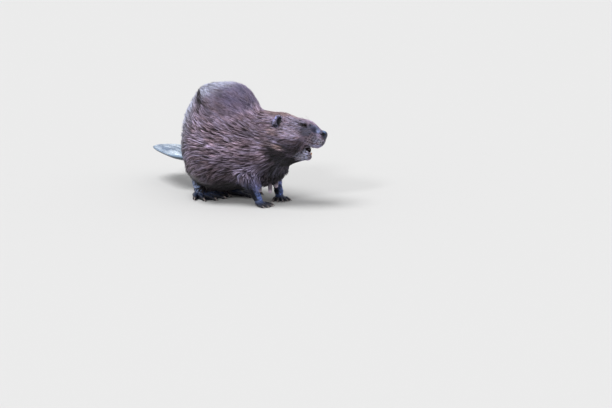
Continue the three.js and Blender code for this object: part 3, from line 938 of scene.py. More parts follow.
# Paths of locks or guides over the skin, and the skin's normals along them.
def trace(start, length, rise):
    normal = normalAt(start)[2]
    path, normals = [start], [normal]
    wander = np.full(len(start), coat["wander"], np.float32)
    for share in profile:
        way = lieAt(path[-1], normal, wander * (1 - 0.8 * headParts(path[-1])[1]))
        ahead = path[-1] + way * (length / len(profile))[:, None]
        here, push, normal = normalAt(ahead)
        path.append(ahead - push * (here - rise * share)[:, None])
        normals.append(normal)
    return np.stack(path, 1), np.stack(normals, 1)


# Which points stay when none may be nearer than its gap to one that stays before it.
def wellSpread(points, ways, gap, stretch):
    kept = np.empty(len(points), int)
    count = 0
    for n in range(len(points)):
        away = points[kept[:count]] - points[n]
        along = away @ ways[n]
        if not ((away * away).sum(1) - along * along * (1 - stretch**-2) < gap[n] ** 2).any():
            kept[count] = n
            count += 1
    return kept[:count]


# The guide nearest to each point, with lengths along the hair counting less, and how far it is aside.
def nearestGuide(points, ways, guides, stretch):
    tree = KDTree(len(guides))
    for n, guide in enumerate(guides.tolist()):
        tree.insert(guide, n)
    tree.balance()
    found = np.int32([[hit[1] for hit in tree.find_n(point, 9)] for point in points.tolist()])
    away = guides[found] - points[:, None]
    along = (away * ways[:, None]).sum(2)
    aside = np.maximum((away * away).sum(2) - along * along, 0)
    best = (aside + (along / stretch) ** 2).argmin(1)
    rows = np.arange(len(points))
    return found[rows, best], np.sqrt(aside[rows, best])


# Locks bend sideways onto their guide and keep their own place along it.
def drawOnto(path, guides, ways, share, keep):
    slide = ((path - guides) * ways[:, None]).sum(2, keepdims=True) * ways[:, None]
    side = (path - guides) - slide
    return path + (keep - 1) * side * share - 0.1 * slide * share


# Corners of tapering tubes: rings of corners round each path, then its tip.
def tubeCorners(path, normals, width, flat, sides):
    count, rings = path.shape[0], path.shape[1] - 1
    ahead = np.diff(path, axis=1)
    ahead = np.concatenate([ahead[:, :1], (ahead[:, 1:] + ahead[:, :-1]) / 2], 1)
    across = unit(np.cross(normals[:, :rings], ahead))
    up = unit(np.cross(ahead, across))
    spots = []
    for side in range(sides):
        angle = math.pi / 2 + 2 * math.pi * side / sides
        reach = (width[:, :rings] / 2)[..., None]
        spots.append(path[:, :rings] + across * reach * math.cos(angle) + up * reach * flat * math.sin(angle))
    body = np.stack(spots, 2).reshape(count, rings * sides, 3)
    return np.concatenate([body, path[:, -1:]], 1)


# Triangles between neighbouring rings of corners, from a given corner on.
def bands(rings, sides, first=0, turned=False):
    faces = []
    for ring in range(rings - 1):
        for side in range(sides):
            a = first + ring * sides + side
            b = first + ring * sides + (side + 1) % sides
            c, d = a + sides, b + sides
            faces += [(a, c, d), (a, d, b)] if turned else [(a, b, d), (a, d, c)]
    return faces


def tubeFaces(rings, sides):
    last = (rings - 1) * sides
    base = [(0, side + 1, side) for side in range(1, sides - 1)]
    tip = [(last + side, last + (side + 1) % sides, last + sides) for side in range(sides)]
    return np.int32(base + bands(rings, sides) + tip)


def repeated(faces, count, each):
    return (faces[None] + np.arange(count, dtype=np.int32)[:, None, None] * each).reshape(-1, faces.shape[1])


def floatAttribute(mesh, name, values):
    mesh.attributes.new(name, "FLOAT", "POINT").data.foreach_set("value", np.float32(values).ravel())


def colourAttribute(mesh, name, values):
    rgba = np.concatenate([values, np.ones((len(values), 1))], 1)
    mesh.attributes.new(name, "FLOAT_COLOR", "POINT").data.foreach_set("color", np.float32(rgba).ravel())


def uvOf(mesh, uv):
    corner = np.empty(len(mesh.loops), np.int32)
    mesh.loops.foreach_get("vertex_index", corner)
    mesh.uv_layers.new(name="OFBake").data.foreach_set("uv", np.float32(uv[corner]).ravel())


# Bundles about a centimetre apart, and finer wisps that lean onto them.
def makeGuides(triangles, uv, weight):
    rng = np.random.default_rng(coat["seed"])
    tries, _ = scatter(triangles, uv, weight**0.7, coat["bundleTries"], coat["seed"])
    rng.shuffle(tries)
    ways = lieAt(tries, normalAt(tries)[2], np.zeros(len(tries), np.float32))
    bundles = tries[wellSpread(tries, ways, coverOf(tries)["gap"], coat["stretch"])]
    cover, depth = coverOf(bundles), coatDepth(bundles)
    length = cover["length"] * rng.uniform(*coat["bundleLength"], len(bundles))
    bundlePath, _ = trace(bundles, length, depth * rng.uniform(*coat["bundleRise"], len(bundles)))
    bundleTone = rng.beta(0.7, 0.7, len(bundles))
    print(len(bundles), "bundles")
    tight = coverOf(triangles.mean(1))["tight"] * (weight > 0)
    wisps, _ = scatter(triangles, uv, tight, coat["wisps"], coat["seed"] + 1)
    cover, depth = coverOf(wisps), coatDepth(wisps)
    rise = depth * rng.uniform(*coat["wispRise"], len(wisps))
    rise = rise + standing(wisps) * rng.uniform(0, coat["stand"], len(wisps))
    path, _ = trace(wisps, cover["length"] * rng.uniform(*coat["wispLength"], len(wisps)), rise)
    ways = unit(path[:, 1] - path[:, 0])
    own, aside = nearestGuide(wisps, ways, bundles, coat["stretch"])
    share = np.float32(coat["toBundle"])[None, :, None] * cover["pull"][:, None, None]
    path = drawOnto(path, bundlePath[own], ways, share, 0.0)
    tone = rng.beta(0.35, 0.35, len(wisps))
    tone = coat["bundleTone"] * bundleTone[own] + (1 - coat["bundleTone"]) * tone
    hue = rng.uniform(0, 1, len(bundles))[own]
    return {"root": wisps, "path": path, "tone": tone, "aside": aside, "hue": hue}


def makeCoat(material):
    triangles, uv = skinTriangles()
    centres = triangles.mean(1)
    bare = np.max(list(barePlaces(centres).values()), 0)
    weight = coverOf(centres)["cover"] * (bare < 0.5)
    print("mean cover", float(weight.mean()))
    wisps = makeGuides(triangles, uv, weight)
    roots, flat = scatter(triangles, uv, weight, coat["locks"], coat["seed"] + 2)
    rng = np.random.default_rng(coat["seed"] + 3)
    count = len(roots)
    cover = coverOf(roots)
    depth = coatDepth(roots) * (1 - 0.85 * onEar(roots, headParts(roots)[1]))
    guard = rng.random(count) < coat["guards"]
    length = cover["length"] * rng.uniform(*coat["lockLength"], count)
    length = length * np.where(guard, coat["guardLength"], 1)
    width = cover["width"] * np.where(guard, coat["guardWidth"], 1)
    lift = np.where(guard, rng.uniform(*coat["guardRise"], count), rng.uniform(*coat["lift"], count))
    rise = depth * lift
    rise += coat["standLocks"] * standing(roots) * rng.uniform(0.0, 1.0, count)
    path, normals = trace(roots, length * (1 - 0.35 * standing(roots)), rise)
    ways = unit(path[:, 1] - path[:, 0])
    own, aside = nearestGuide(roots, ways, wisps["root"], coat["stretch"])
    print("locks traced")
    pull = cover["pull"] * np.where(guard, coat["guardPull"], 1)
    share = np.float32(coat["toWisp"])[None, :, None] * pull[:, None, None]
    path = drawOnto(path, wisps["path"][own], ways, share, 0.25)
    frizz = rng.normal(0, coat["frizz"], (count, 3)) * (cover["length"] / 30)[:, None]
    frizz = frizz - (frizz * normals[:, 0]).sum(1, keepdims=True) * normals[:, 0]
    path += frizz[:, None] * np.float32(coat["flare"])[None, :, None]
    valley = np.clip(wisps["aside"][own] / (0.5 * cover["gap"]), 0, 1) ** 2 * coat["valley"] * cover["pull"]
    valley += np.clip(aside / (2.0 / np.sqrt(cover["tight"])), 0, 1) ** 2 * coat["furrow"] * cover["pull"]
    path[:, 1:] -= normals[:, 1:] * (depth * valley)[:, None, None]
    path[:, 0] -= normals[:, 0] * coat["rooted"]
    path[..., 2] = np.maximum(path[..., 2], coat["floor"])
    tone = 0.88 * wisps["tone"][own] + 0.12 * rng.uniform(0, 1, count)
    # locks low in the valleys between wisps are painted darker, as shade
    tone = tone + coat["guardTone"] * guard - coat["valleyShade"] * valley + coat["toneShift"]
    tone = np.clip(0.5 + (tone - 0.5) * cover["strong"], -0.15, 1.5)
    hue = np.clip(0.55 * wisps["hue"][own] + 0.45 * tone, 0, 1)[:, None]
    colour = peltAt(roots) * mix(np.float32(warm), np.float32(cool), hue)
    tipGlint = tipGlintAt(roots)
    order = np.argsort(roots[:, 0])
    short = cover["length"][order] < coat["short"]
    parts = []
    for rings, group in ((3, order[~short]), (2, order[short])):
        names = coatParts[rings]
        parts += [(name, rings, part) for name, part in zip(names, np.array_split(group, len(names)))]
    for name, rings, part in parts:
        shape = ringsOf[rings]
        line, taper = path[part][:, shape["picked"]], np.float32(shape["taper"])
        corners = tubeCorners(line, normals[part][:, :rings], width[part, None] * taper, coat["flat"], 3)
        each = corners.shape[1]
        faces = repeated(tubeFaces(rings, 3), len(part), each)
        mesh = meshFrom("coat_" + name, toPart(corners.reshape(-1, 3)), faces)
        along = np.tile(np.float32([step for step in shape["steps"] for _ in range(3)] + [1]), len(part))
        wide = np.tile(np.float32([0, -1, 1] * rings + [0]), len(part))
        across, down = coat["patch"]  # how far each lock reaches over the skin's own layout
        uvOf(mesh, np.repeat(flat[part], each, 0) + np.stack([wide * across, (along - 0.5) * down], 1))
        floatAttribute(mesh, "along", along)
        floatAttribute(mesh, "tone", np.repeat(tone[part], each))
        floatAttribute(mesh, "tipGlint", np.repeat(tipGlint[part], each))
        colourAttribute(mesh, "pelt", np.repeat(colour[part], each, 0))
        piece = smoothPiece("coat_" + name, mesh, material)
        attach(piece, "root")
        print(piece.name, len(mesh.polygons), "triangles")


# A material with its nodes; i0, i1 and so on stand for inputs by number.
class Nodes:
    def __init__(self, name):
        self.material = bpy.data.materials.new(name)
        self.material.use_nodes = True
        self.tree = self.material.node_tree
        self.shader = self.tree.nodes["Principled BSDF"]

    def add(self, kind, settings=None, **inputs):
        node = self.tree.nodes.new(kind)
        for key, value in (settings or {}).items():
            setattr(node, key, value)
        for key, value in inputs.items():
            self.put(node, key.replace("_", " ").strip(), value)
        return node

    def put(self, node, key, value):
        socket = node.inputs[int(key[1:])] if key[:1] == "i" and key[1:].isdigit() else node.inputs[key]
        if isinstance(value, bpy.types.NodeSocket):
            self.tree.links.new(value, socket)
        else:
            socket.default_value = value

    def set(self, **inputs):
        for key, value in inputs.items():
            self.put(self.shader, key.replace("_", " "), value)

    def attribute(self, name, output="Fac"):
        return self.add("ShaderNodeAttribute", {"attribute_name": name}).outputs[output]

    def math(self, operation, a, b=0.0, clamp=False):
        node = self.add("ShaderNodeMath", {"operation": operation, "use_clamp": clamp}, i0=a, i1=b)
        return node.outputs[0]

    def span(self, value, low, high, bottom=0.0, top=1.0):
        node = self.add("ShaderNodeMapRange", None, i0=value, i1=low, i2=high, i3=bottom, i4=top)
        return node.outputs[0]

    def blend(self, kind, share, a, b):
        node = self.add("ShaderNodeMix", {"data_type": "RGBA", "blend_type": kind})
        self.put(node, "i0", share)
        self.put(node, "i6", a)
        self.put(node, "i7", b)
        return node.outputs[2]

    def grey(self, value):
        return self.add("ShaderNodeCombineColor", None, i0=value, i1=value, i2=value).outputs[0]

    def noise(self, scale, detail=3.0, vector=None, output=0):
        node = self.add("ShaderNodeTexNoise", None, Scale=scale, Detail=detail)
        if vector is not None:
            self.put(node, "Vector", vector)
        return node.outputs[output]

    def place(self):
        return self.add("ShaderNodeTexCoord").outputs["Object"]

    def bump(self, height, distance, strength=1.0):
        node = self.add("ShaderNodeBump", None, Height=height, Distance=distance, Strength=strength)
        return node.outputs[0]


coatLook = {
    "root": 0.25, "tip": 1.15, "dark": 0.04, "light": 2.40,
    "tipGlint": (0.74, 0.78, 1.00, 1), "roughness": 0.36,
}


def coatMaterial():
    n = Nodes("coat")
    look = coatLook
    along, tone, tipGlint = n.attribute("along"), n.attribute("tone"), n.attribute("tipGlint")
    pelt = n.attribute("pelt", "Color")
    reach = n.span(along, 0.0, 1.0, look["root"], look["tip"])
    shade = n.math("MULTIPLY", reach, n.span(tone, -0.2, 1.5, look["dark"], look["light"]))
    colour = n.blend("MULTIPLY", 1.0, pelt, n.grey(shade))
    # painted glints: the lock tips are mixed towards pale blue where tipGlint is set
    pale = n.math("MULTIPLY", tipGlint, n.span(tone, 0.05, 0.80, 0.20, 1.0))
    tip = n.math("MULTIPLY", n.span(along, 0.0, 0.7), pale)
    colour = n.blend("MIX", n.math("MULTIPLY", tip, 1.0, True), colour, look["tipGlint"])
    n.set(Base_Color=colour, Roughness=look["roughness"])
    return n.material


skinLook = {
    "roughness": (0.7, 0.34), "bump": (0.0004, 0.6),
    "noseTopHighlight": (0.11, 0.20, 0.40), "footTopHighlight": (0.070, 0.105, 0.24),
    "teatTip": (0.62, 0.51, 0.62), "teatRoot": (0.150, 0.120, 0.155),
}
# The mouth's inside is painted near-black, as the shade inside it.
mouthLook = {
    "dark": (0.002, 0.001, 0.002, 1), "light": (0.016, 0.008, 0.011, 1),
    "roughness": 0.6, "bump": (0.0008, 0.7), "shine": 0.06,
}


def skinMaterial():
    n = Nodes("skin")
    colour, bare = n.attribute("pelt", "Color"), n.attribute("bare")
    place = n.place()
    grain = n.noise(900.0, 4.0, place)
    cells = n.add("ShaderNodeTexVoronoi", {"feature": "DISTANCE_TO_EDGE"}, Vector=place, Scale=620.0)
    crease = n.math("MULTIPLY", n.span(cells.outputs[0], 0.0, 0.12), bare)
    colour = n.blend("MULTIPLY", 0.5, colour, n.grey(n.span(grain, 0.3, 0.7, 0.6, 1.3)))
    n.set(
        Base_Color=colour,
        Roughness=n.span(bare, 0.0, 1.0, *skinLook["roughness"]),
        Normal=n.bump(n.math("ADD", crease, grain), *skinLook["bump"]),
    )
    return n.material


def mouthMaterial():
    n = Nodes("mouth")
    folds = n.noise(240.0, 4.0, n.place())
    look = mouthLook
    n.set(
        Base_Color=n.blend("MIX", folds, look["dark"], look["light"]),
        Roughness=look["roughness"],
        Normal=n.bump(folds, *look["bump"]),
        Specular_IOR_Level=look["shine"],
    )
    return n.material


def paintSkin():
    p = coordinates(skinPiece.data) / mm - np.float32(origin)
    places, h = barePlaces(p), inFrame(headFrame, p)
    # The skin under the coat is painted dark, as the shade deep in the coat; the heel's painted glint keeps
    # its full colour.
    pelt = peltAt(p) * mix(0.22, 1.0, heelGlint(p))[:, None]
    bare = np.zeros(len(p), np.float32)
    for name, share in places.items():
        colour = np.tile(np.float32(bareColours[name]), (len(p), 1))
        # the tail's underside is painted darker, as shade
        if name == "tail":
            t = inFrame(tailFrame, p)
            colour *= mix(0.25, 1.0, ramp(t[:, 2], -2, 3))[:, None]
        # the ear's hollow is painted near-black, as the shade inside it
        if name == "ear":
            for s in sides.values():
                q = mirrored(earFrame(s), p, s)
                colour *= mix(0.03, 1.0, ramp(earHollow(q), 0.0, 1.6))[:, None]
        # a painted highlight on top of the nose pad, and painted shade inside the nostrils
        if name == "nose":
            top = ramp(h[:, 2], -2, 3) * (1 - ramp(h[:, 0], 114, 123))
            colour = mix(colour, np.float32(skinLook["noseTopHighlight"]), top[:, None])
            for s in sides.values():
                colour *= mix(0.03, 1.0, ramp(nostril(h, s), 0.2, 1.8))[:, None]
        # feet: painted lighter on top as highlight, darker underneath as shade, and darker towards the rear
        if name == "foot":
            colour = mix(colour * 0.5, np.float32(skinLook["footTopHighlight"]), ramp(p[:, 2], 6, 14)[:, None])
            colour *= mix(0.55, 1.0, ramp(p[:, 0], -30, 30))[:, None]
        pelt = mix(pelt, colour, share[:, None])
        bare = np.maximum(bare, share * (0.3 if name in ("mouth", "teat") else 1))
    for x, y, tip in teats:
        near = 1 - ramp(ellipsoid((x, y, tip + 12), (5.6, 5.6, 14))(p), 0.4, 2.0)
        end, root = np.float32(skinLook["teatTip"]), np.float32(skinLook["teatRoot"])
        tint = mix(end, root, ramp(p[:, 2], tip + 3, tip + 13)[:, None])
        pelt = mix(pelt, tint, near[:, None])
        bare = np.maximum(bare, near)
    mesh = skinPiece.data
    colourAttribute(mesh, "pelt", pelt)
    floatAttribute(mesh, "bare", bare)
    mesh.materials.append(skinMaterial())
    mesh.materials.append(mouthMaterial())
    corners, starts = np.empty(len(mesh.loops), np.int32), np.empty(len(mesh.polygons), np.int32)
    mesh.loops.foreach_get("vertex_index", corners)
    mesh.polygons.foreach_get("loop_start", starts)
    inside = np.minimum.reduceat(places["mouth"][corners], starts) > 0.5
    mesh.polygons.foreach_set("material_index", inside.astype(np.int32))
    print("skin painted,", int(inside.sum()), "faces in the mouth")


makeCoat(coatMaterial())
paintSkin()
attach(skinPiece, "root")
fleshParts = ("trunk", "neck", "head", "lower", "leg", "foot", "tail", "ear", "nose", "teat")
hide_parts(*[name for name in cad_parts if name.split("_")[0] in fleshParts])


# Tail plates: their tops painted pale blue with streaks, as a reflection of the sky; their undersides painted
# dark, as shade.
scales = {
    "step": 5.4, "across": 6.6, "thick": 0.55, "lap": 1.25, "rim": 2.8, "seed": 21,
    "sides": 10, "rings": (0.55, 1.0, 1.0), "rise": (1.0, 0.85, 0.25, -0.9), "jitter": 0.35, "tilt": 0.10,
    "pale": (0.62, 0.72, 0.84, 1), "blue": (0.17, 0.24, 0.37, 1), "under": (0.022, 0.030, 0.052, 1),
    "roughness": (0.16, 0.36), "bump": (0.0003, 0.5), "streaks": 137,
}


# Half the tail's thickness at a place of its plan, or 0 outside.
def tailHeight(x, y):
    plan, thick = paddlePlan(x, y)
    return thick * np.sqrt(np.maximum(1 - plan * plan, 0))


def makeScales(material):
    rng = np.random.default_rng(scales["seed"])
    rows = np.arange(40, 268, scales["step"])
    spots = []
    for row, x in enumerate(rows):
        ys = np.arange(-60, 61, scales["across"]) + (row % 2) * scales["across"] / 2
        spots.append(np.stack([np.full(len(ys), x), ys], 1))
    spots = np.concatenate(spots)
    spots = spots + rng.normal(0, scales["jitter"], spots.shape)
    spots = spots[tailHeight(spots[:, 0], spots[:, 1]) > scales["rim"]]
    # one plate: a rounded shield, its rear edge over the next row
    around = scales["sides"]
    angle = np.linspace(0, 2 * math.pi, around + 1)[:-1]
    rim = [np.cos(angle) * scales["step"] * 0.62 * scales["lap"], np.sin(angle) * scales["across"] * 0.52]
    rim = np.stack(rim, 1)
    plan = np.concatenate([np.zeros((1, 2))] + [rim * size for size in scales["rings"]])
    middle, *levels = scales["rise"]
    rise = np.float32([middle] + [level for level in levels for _ in range(around)]) * scales["thick"]
    faces = [(0, 1 + n, 1 + (n + 1) % around) for n in range(around)]
    faces = np.int32(faces + bands(len(levels), around, 1, True))
    points, tones, flips = [], [], []
    for way in (1, -1):
        centre = spots[:, None]
        size = rng.uniform(0.88, 1.08, (len(spots), 1, 1))
        flat = centre + plan[None] * size
        tilt = (plan[:, 0] * scales["tilt"])[None] + rng.normal(0, 0.05, (len(spots), 1))
        inner = tailHeight(spots[:, 0], spots[:, 1])[:, None]
        edge = tailHeight(flat[..., 0], flat[..., 1])
        height = np.maximum(edge, inner * 0.25) + rise[None] + tilt
        points.append(np.stack([flat[..., 0], flat[..., 1], way * height], 2).reshape(-1, 3))
        tones.append(np.repeat(rng.uniform(0, 1, len(spots)), len(plan)))
        flips.append(repeated(faces if way > 0 else faces[:, ::-1], len(spots), len(plan)))
    flips[1] = flips[1] + len(points[0])
    points = np.concatenate(points).astype(np.float32)
    mesh = meshFrom("tail_scales", toPart(outOfFrame(tailFrame, points)), np.concatenate(flips))
    floatAttribute(mesh, "tone", np.concatenate(tones))
    floatAttribute(mesh, "top", ramp(points[:, 2], -2, 2))
    uvOf(mesh, points[:, :2] * np.float32(0.003) + np.float32(0.5))
    piece = smoothPiece("tail_scales", mesh, material)
    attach(piece, "root")
    print("tail_scales", len(mesh.polygons), "triangles")


def scaleMaterial():
    n = Nodes("tail_scales")
    tone, top, place = n.attribute("tone"), n.attribute("top"), n.place()
    grain = n.noise(420.0, 5.0, place)
    turn = (0, 0, math.radians(scales["streaks"]))
    kind = {"vector_type": "TEXTURE"}
    drawn = n.add("ShaderNodeMapping", kind, Vector=place, Rotation=turn, Scale=(6, 1, 1))
    streaks = n.noise(60.0, 4.0, drawn.outputs[0])
    # painted reflection on top, painted shade underneath
    light = n.blend("MIX", n.span(streaks, 0.40, 0.62), scales["blue"], scales["pale"])
    base = n.blend("MIX", top, scales["under"], light)
    shade = n.math("MULTIPLY", n.span(tone, 0.0, 1.0, 0.78, 1.2), n.span(grain, 0.3, 0.7, 0.8, 1.2))
    n.set(
        Base_Color=n.blend("MULTIPLY", 1.0, base, n.grey(shade)),
        Roughness=n.span(grain, 0.3, 0.7, *scales["roughness"]),
        Normal=n.bump(grain, *scales["bump"]),
    )
    return n.material


makeScales(scaleMaterial())


claws = {
    "rings": 7, "sides": 10, "fore": 1.9, "hind": 1.9, "thick": 0.62, "hook": 0.55, "flat": 0.95,
    "dark": (0.045, 0.038, 0.045, 1), "light": (0.30, 0.25, 0.24, 1), "roughness": 0.32,
}


def makeClaws(material):
    paths, widths, normals = [], [], []
    for name in feet:
        for digit in digitsOf(name):
            r, root, tip = digit["radius"], digit["root"], digit["tip"]
            way = (tip - root).normalized()
            way.z = 0
            way.normalize()
            start = tip - way * (0.35 * r)
            start.z = r * 0.80
            reach = r * (0.35 + (claws["hind"] if name.startswith("hind") else claws["fore"]))
            line = []
            for t in np.linspace(0, 1, claws["rings"] + 1):
                lift = 0.22 * r * math.sin(math.pi * min(t * 1.25, 1)) - claws["hook"] * r * t * t
                lift = max(lift, 0.5 - start.z + 0.25 * (1 - t))  # clear of the floor
                line.append(start + way * (reach * t) + Vector((0, 0, lift)))
            paths.append([list(point) for point in line])
            t = np.linspace(0, 1, claws["rings"] + 1)
            widths.append(claws["thick"] * r * (1 - 0.75 * t**1.4) * 1.25)
            normals.append([[0, 0, 1]] * len(line))
    path, width = np.float32(paths), np.float32(widths)
    corners = tubeCorners(path, np.float32(normals), width, claws["flat"], claws["sides"])
    faces = repeated(tubeFaces(claws["rings"], claws["sides"]), len(path), corners.shape[1])
    mesh = meshFrom("claws", toPart(corners.reshape(-1, 3)), faces)
    along = np.concatenate([np.repeat(np.linspace(0, 1, claws["rings"] + 1)[:-1], claws["sides"]), [1]])
    floatAttribute(mesh, "along", np.tile(along, len(path)))
    piece = smoothPiece("claws", mesh, material)
    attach(piece, "root")
    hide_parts(*[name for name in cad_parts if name.startswith("claw_")])
    print("claws", len(path))


def clawMaterial():
    n = Nodes("claws")
    along = n.attribute("along")
    streak = n.noise(1500.0, 3.0, n.place())
    colour = n.blend("MIX", along, claws["dark"], claws["light"])
    colour = n.blend("MULTIPLY", 0.6, colour, n.grey(n.span(streak, 0.3, 0.7, 0.6, 1.4)))
    n.set(Base_Color=colour, Roughness=claws["roughness"], Normal=n.bump(streak, 0.0001, 0.4))
    return n.material


makeClaws(clawMaterial())


eye = {
    "radius": 5.35, "cornea": 0.55, "rings": 28, "sides": 48,
    "pupil": (0.002, 0.002, 0.003, 1), "iris": (0.022, 0.012, 0.008, 1), "rim": (0.012, 0.008, 0.008, 1),
    "roughness": 0.22, "shine": 0.0, "wet": 0.45, "wetRoughness": 0.02,
}


def makeEyes(material):
    for key, side in sides.items():
        angle = np.linspace(0, math.pi, eye["rings"] + 1)[1:-1]
        spin = np.linspace(0, 2 * math.pi, eye["sides"] + 1)[:-1]
        a, s = [grid.ravel() for grid in np.meshgrid(angle, spin, indexing="ij")]
        a, s = np.concatenate([a, [0, math.pi]]), np.concatenate([s, [0, 0]])
        reach = eye["radius"] + eye["cornea"] * np.exp(-((a / 0.55) ** 2))
        q = np.stack([np.cos(a), np.sin(a) * np.cos(s), np.sin(a) * np.sin(s)], 1) * reach[:, None]
        count, around = len(angle), eye["sides"]
        faces = bands(count, around, 0, True)
        front, rear, last = count * around, count * around + 1, (count - 1) * around
        faces += [(front, n, (n + 1) % around) for n in range(around)]
        faces += [(rear, last + (n + 1) % around, last + n) for n in range(around)]
        points = toPart(outOfFrame(lidFrame(side), np.float32(q)))
        mesh = meshFrom("eye_" + key, points, np.int32(faces))
        floatAttribute(mesh, "ring", a)
        piece = smoothPiece("eyeball_" + key, mesh, material)
        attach(piece, "root")
        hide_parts("eye_" + key)
        print(piece.name, len(mesh.polygons), "triangles")


def eyeMaterial():
    n = Nodes("eye")
    ring = n.attribute("ring")
    streak = n.noise(2600.0, 2.0, n.place())
    iris = n.blend("MULTIPLY", 1.0, eye["iris"], n.grey(n.span(streak, 0.3, 0.7, 0.5, 1.6)))
    colour = n.blend("MIX", n.span(ring, 0.34, 0.40), eye["pupil"], iris)
    colour = n.blend("MIX", n.span(ring, 0.72, 0.86), colour, eye["rim"])
    n.set(Base_Color=colour, Roughness=eye["roughness"], Specular_IOR_Level=eye["shine"])
    n.set(Coat_Weight=eye["wet"], Coat_Roughness=eye["wetRoughness"])
    return n.material


makeEyes(eyeMaterial())


teeth = {
    "width": 4.9, "deep": 4.6, "bottom": -6.0, "top": 13.0, "lean": 4.0, "bevel": 2.0,
    "sides": 16, "square": 0.6, "roughness": 0.28,
    "dark": (0.34, 0.110, 0.030, 1), "light": (0.52, 0.215, 0.070, 1), "rear": (0.62, 0.52, 0.38, 1),
}


def makeTeeth(material):
    for key, side in sides.items():
        place = headFrame @ frameAt((109.5, side * 2.6, -69), 0, -14, 0)
        around = teeth["sides"]
        angle = np.linspace(0, 2 * math.pi, around + 1)[:-1]
        circle = np.stack([np.cos(angle), np.sin(angle)], 1)
        shape = np.sign(circle) * np.abs(circle) ** teeth["square"]
        levels = np.concatenate([np.linspace(0, 0.92, 9), [0.97, 1.0]])
        points, front = [], []
        for t in levels:
            shrink = 1.0 if t < 0.95 else (0.93 if t < 0.99 else 0.80)
            x = shape[:, 0] * teeth["deep"] / 2 * shrink
            y = shape[:, 1] * teeth["width"] / 2 * shrink
            z = mix(teeth["bottom"], teeth["top"], t) + teeth["bevel"] * t**4 * (shape[:, 0] - 1) * 0.6
            bow = teeth["lean"] * (math.sin(min(t * 1.15, 1) * math.pi / 2) - 1) - 1.6
            points.append(np.stack([x + bow, y, z], 1))
            front.append(shape[:, 0])
        base = points[0].mean(0, keepdims=True)
        top = points[-1].mean(0, keepdims=True) + np.float32([[0, 0, 0.2]])
        q = np.concatenate(points + [base, top])
        last, below, above = (len(levels) - 1) * around, len(q) - 2, len(q) - 1
        faces = bands(len(levels), around)
        faces += [(below, (n + 1) % around, n) for n in range(around)]
        faces += [(above, last + n, last + (n + 1) % around) for n in range(around)]
        mesh = meshFrom("incisor_" + key, toPart(outOfFrame(place, np.float32(q))), np.int32(faces))
        floatAttribute(mesh, "front", np.concatenate(front + [[0, 0]]))
        piece = smoothPiece("incisor_" + key, mesh, material)
        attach(piece, "root")
        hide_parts("tooth_" + key)
        print(piece.name, len(mesh.polygons), "triangles")


def toothMaterial():
    n = Nodes("incisor")
    front, place = n.attribute("front"), n.place()
    streak = n.noise(700.0, 4.0, place)
    orange = n.blend("MIX", streak, teeth["dark"], teeth["light"])
    n.set(
        Base_Color=n.blend("MIX", n.span(front, -0.4, 0.3), teeth["rear"], orange),
        Roughness=teeth["roughness"],
        Normal=n.bump(streak, 0.0001, 0.4),
    )
    return n.material


makeTeeth(toothMaterial())


whiskers = {
    "each": 16, "brow": 3, "length": (16, 40), "thick": 0.42, "seed": 31, "droop": (-0.25, 0, -0.35),
    "rings": 7, "sides": 5, "dark": (0.030, 0.025, 0.030, 1), "light": (0.16, 0.14, 0.15, 1),
}


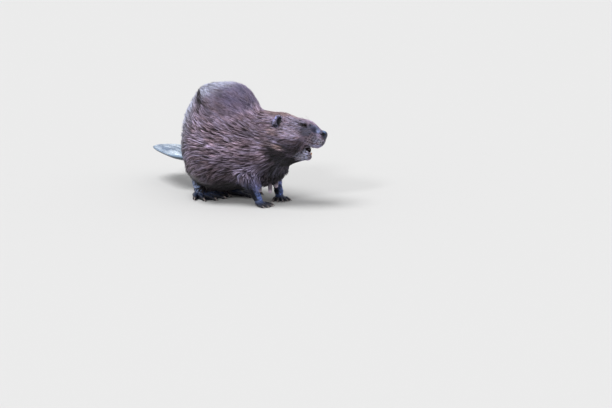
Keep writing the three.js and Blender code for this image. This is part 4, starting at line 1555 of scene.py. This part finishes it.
def makeWhiskers(material):
    rng = np.random.default_rng(whiskers["seed"])
    roots, ways = [], []
    for s in sides.values():
        for n in range(whiskers["each"]):
            row, place = n % 4, n // 4
            x = 109 - 4.6 * place + rng.normal(0, 0.6)
            z = -23 - 5.0 * row + rng.normal(0, 0.5)
            roots.append((x, s * (20 + 2.2 * place), z))
            back = -0.55 + 0.12 * rng.normal()
            out = s * (0.75 + 0.1 * rng.normal())
            ways.append((back, out, -0.30 - 0.12 * row + 0.1 * rng.normal()))
        for n in range(whiskers["brow"]):
            roots.append((74 - 4 * n, s * 24, 7))
            ways.append((-0.5, s * 0.55, 0.65))
    roots = outOfFrame(headFrame, np.float32(roots))
    ways = unit(np.float32(ways) @ turnOf(headFrame).T)
    for _ in range(3):
        here, push, _ = normalAt(roots)
        roots = roots - push * (here + 0.3)[:, None]
    length = rng.uniform(*whiskers["length"], len(roots))
    rings, around = whiskers["rings"], whiskers["sides"]
    t = np.linspace(0, 1, rings + 1)
    droop = np.float32(whiskers["droop"]) * length[:, None]
    path = roots[:, None] + ways[:, None] * (length[:, None] * t)[..., None]
    path = path + droop[:, None] * (t**2)[None, :, None]
    width = whiskers["thick"] * (1 - 0.85 * t)[None] * np.ones((len(roots), 1))
    up = np.tile(np.float32((0, 0, 1)), (len(roots), rings + 1, 1))
    corners = tubeCorners(path, up, width, 1.0, around)
    faces = repeated(tubeFaces(rings, around), len(roots), corners.shape[1])
    mesh = meshFrom("whiskers", toPart(corners.reshape(-1, 3)), faces)
    piece = smoothPiece("whiskers", mesh, material)
    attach(piece, "root")
    print("whiskers", len(roots))


def whiskerMaterial():
    n = Nodes("whiskers")
    streak = n.noise(300.0, 2.0, n.place())
    n.set(Base_Color=n.blend("MIX", streak, whiskers["dark"], whiskers["light"]), Roughness=0.35)
    return n.material


makeWhiskers(whiskerMaterial())


# Each light: where it stands, its power and its width in degrees.
studio = {
    "floor": (0.64, 0.64, 0.64), "sky": 0.52,
    "lights": {"key": ((-0.30, -0.25, 1.0), 2.2, 36), "fill": ((-0.10, -0.85, 0.55), 0.75, 9)},
}


def makeStudio():
    bpy.ops.mesh.primitive_plane_add(size=60, location=(0, 0, 0))
    floor = bpy.context.object
    floor.name = "floor"
    n = Nodes("floor")
    n.set(Base_Color=(*studio["floor"], 1), Roughness=0.9)
    floor.data.materials.append(n.material)
    world = bpy.data.worlds.new("world")
    world.use_nodes = True
    world.node_tree.nodes["Background"].inputs[0].default_value = (1, 1, 1, 1)
    world.node_tree.nodes["Background"].inputs[1].default_value = studio["sky"]
    bpy.context.scene.world = world
    for name, (toward, power, spread) in studio["lights"].items():
        data = bpy.data.lights.new(name, "SUN")
        data.energy, data.angle = power, math.radians(spread)
        lamp = bpy.data.objects.new(name, data)
        lamp.rotation_euler = Vector(toward).to_track_quat("Z", "Y").to_euler()
        bpy.context.scene.collection.objects.link(lamp)
    bpy.context.scene.view_settings.view_transform = "Standard"


makeStudio()
print("studio")
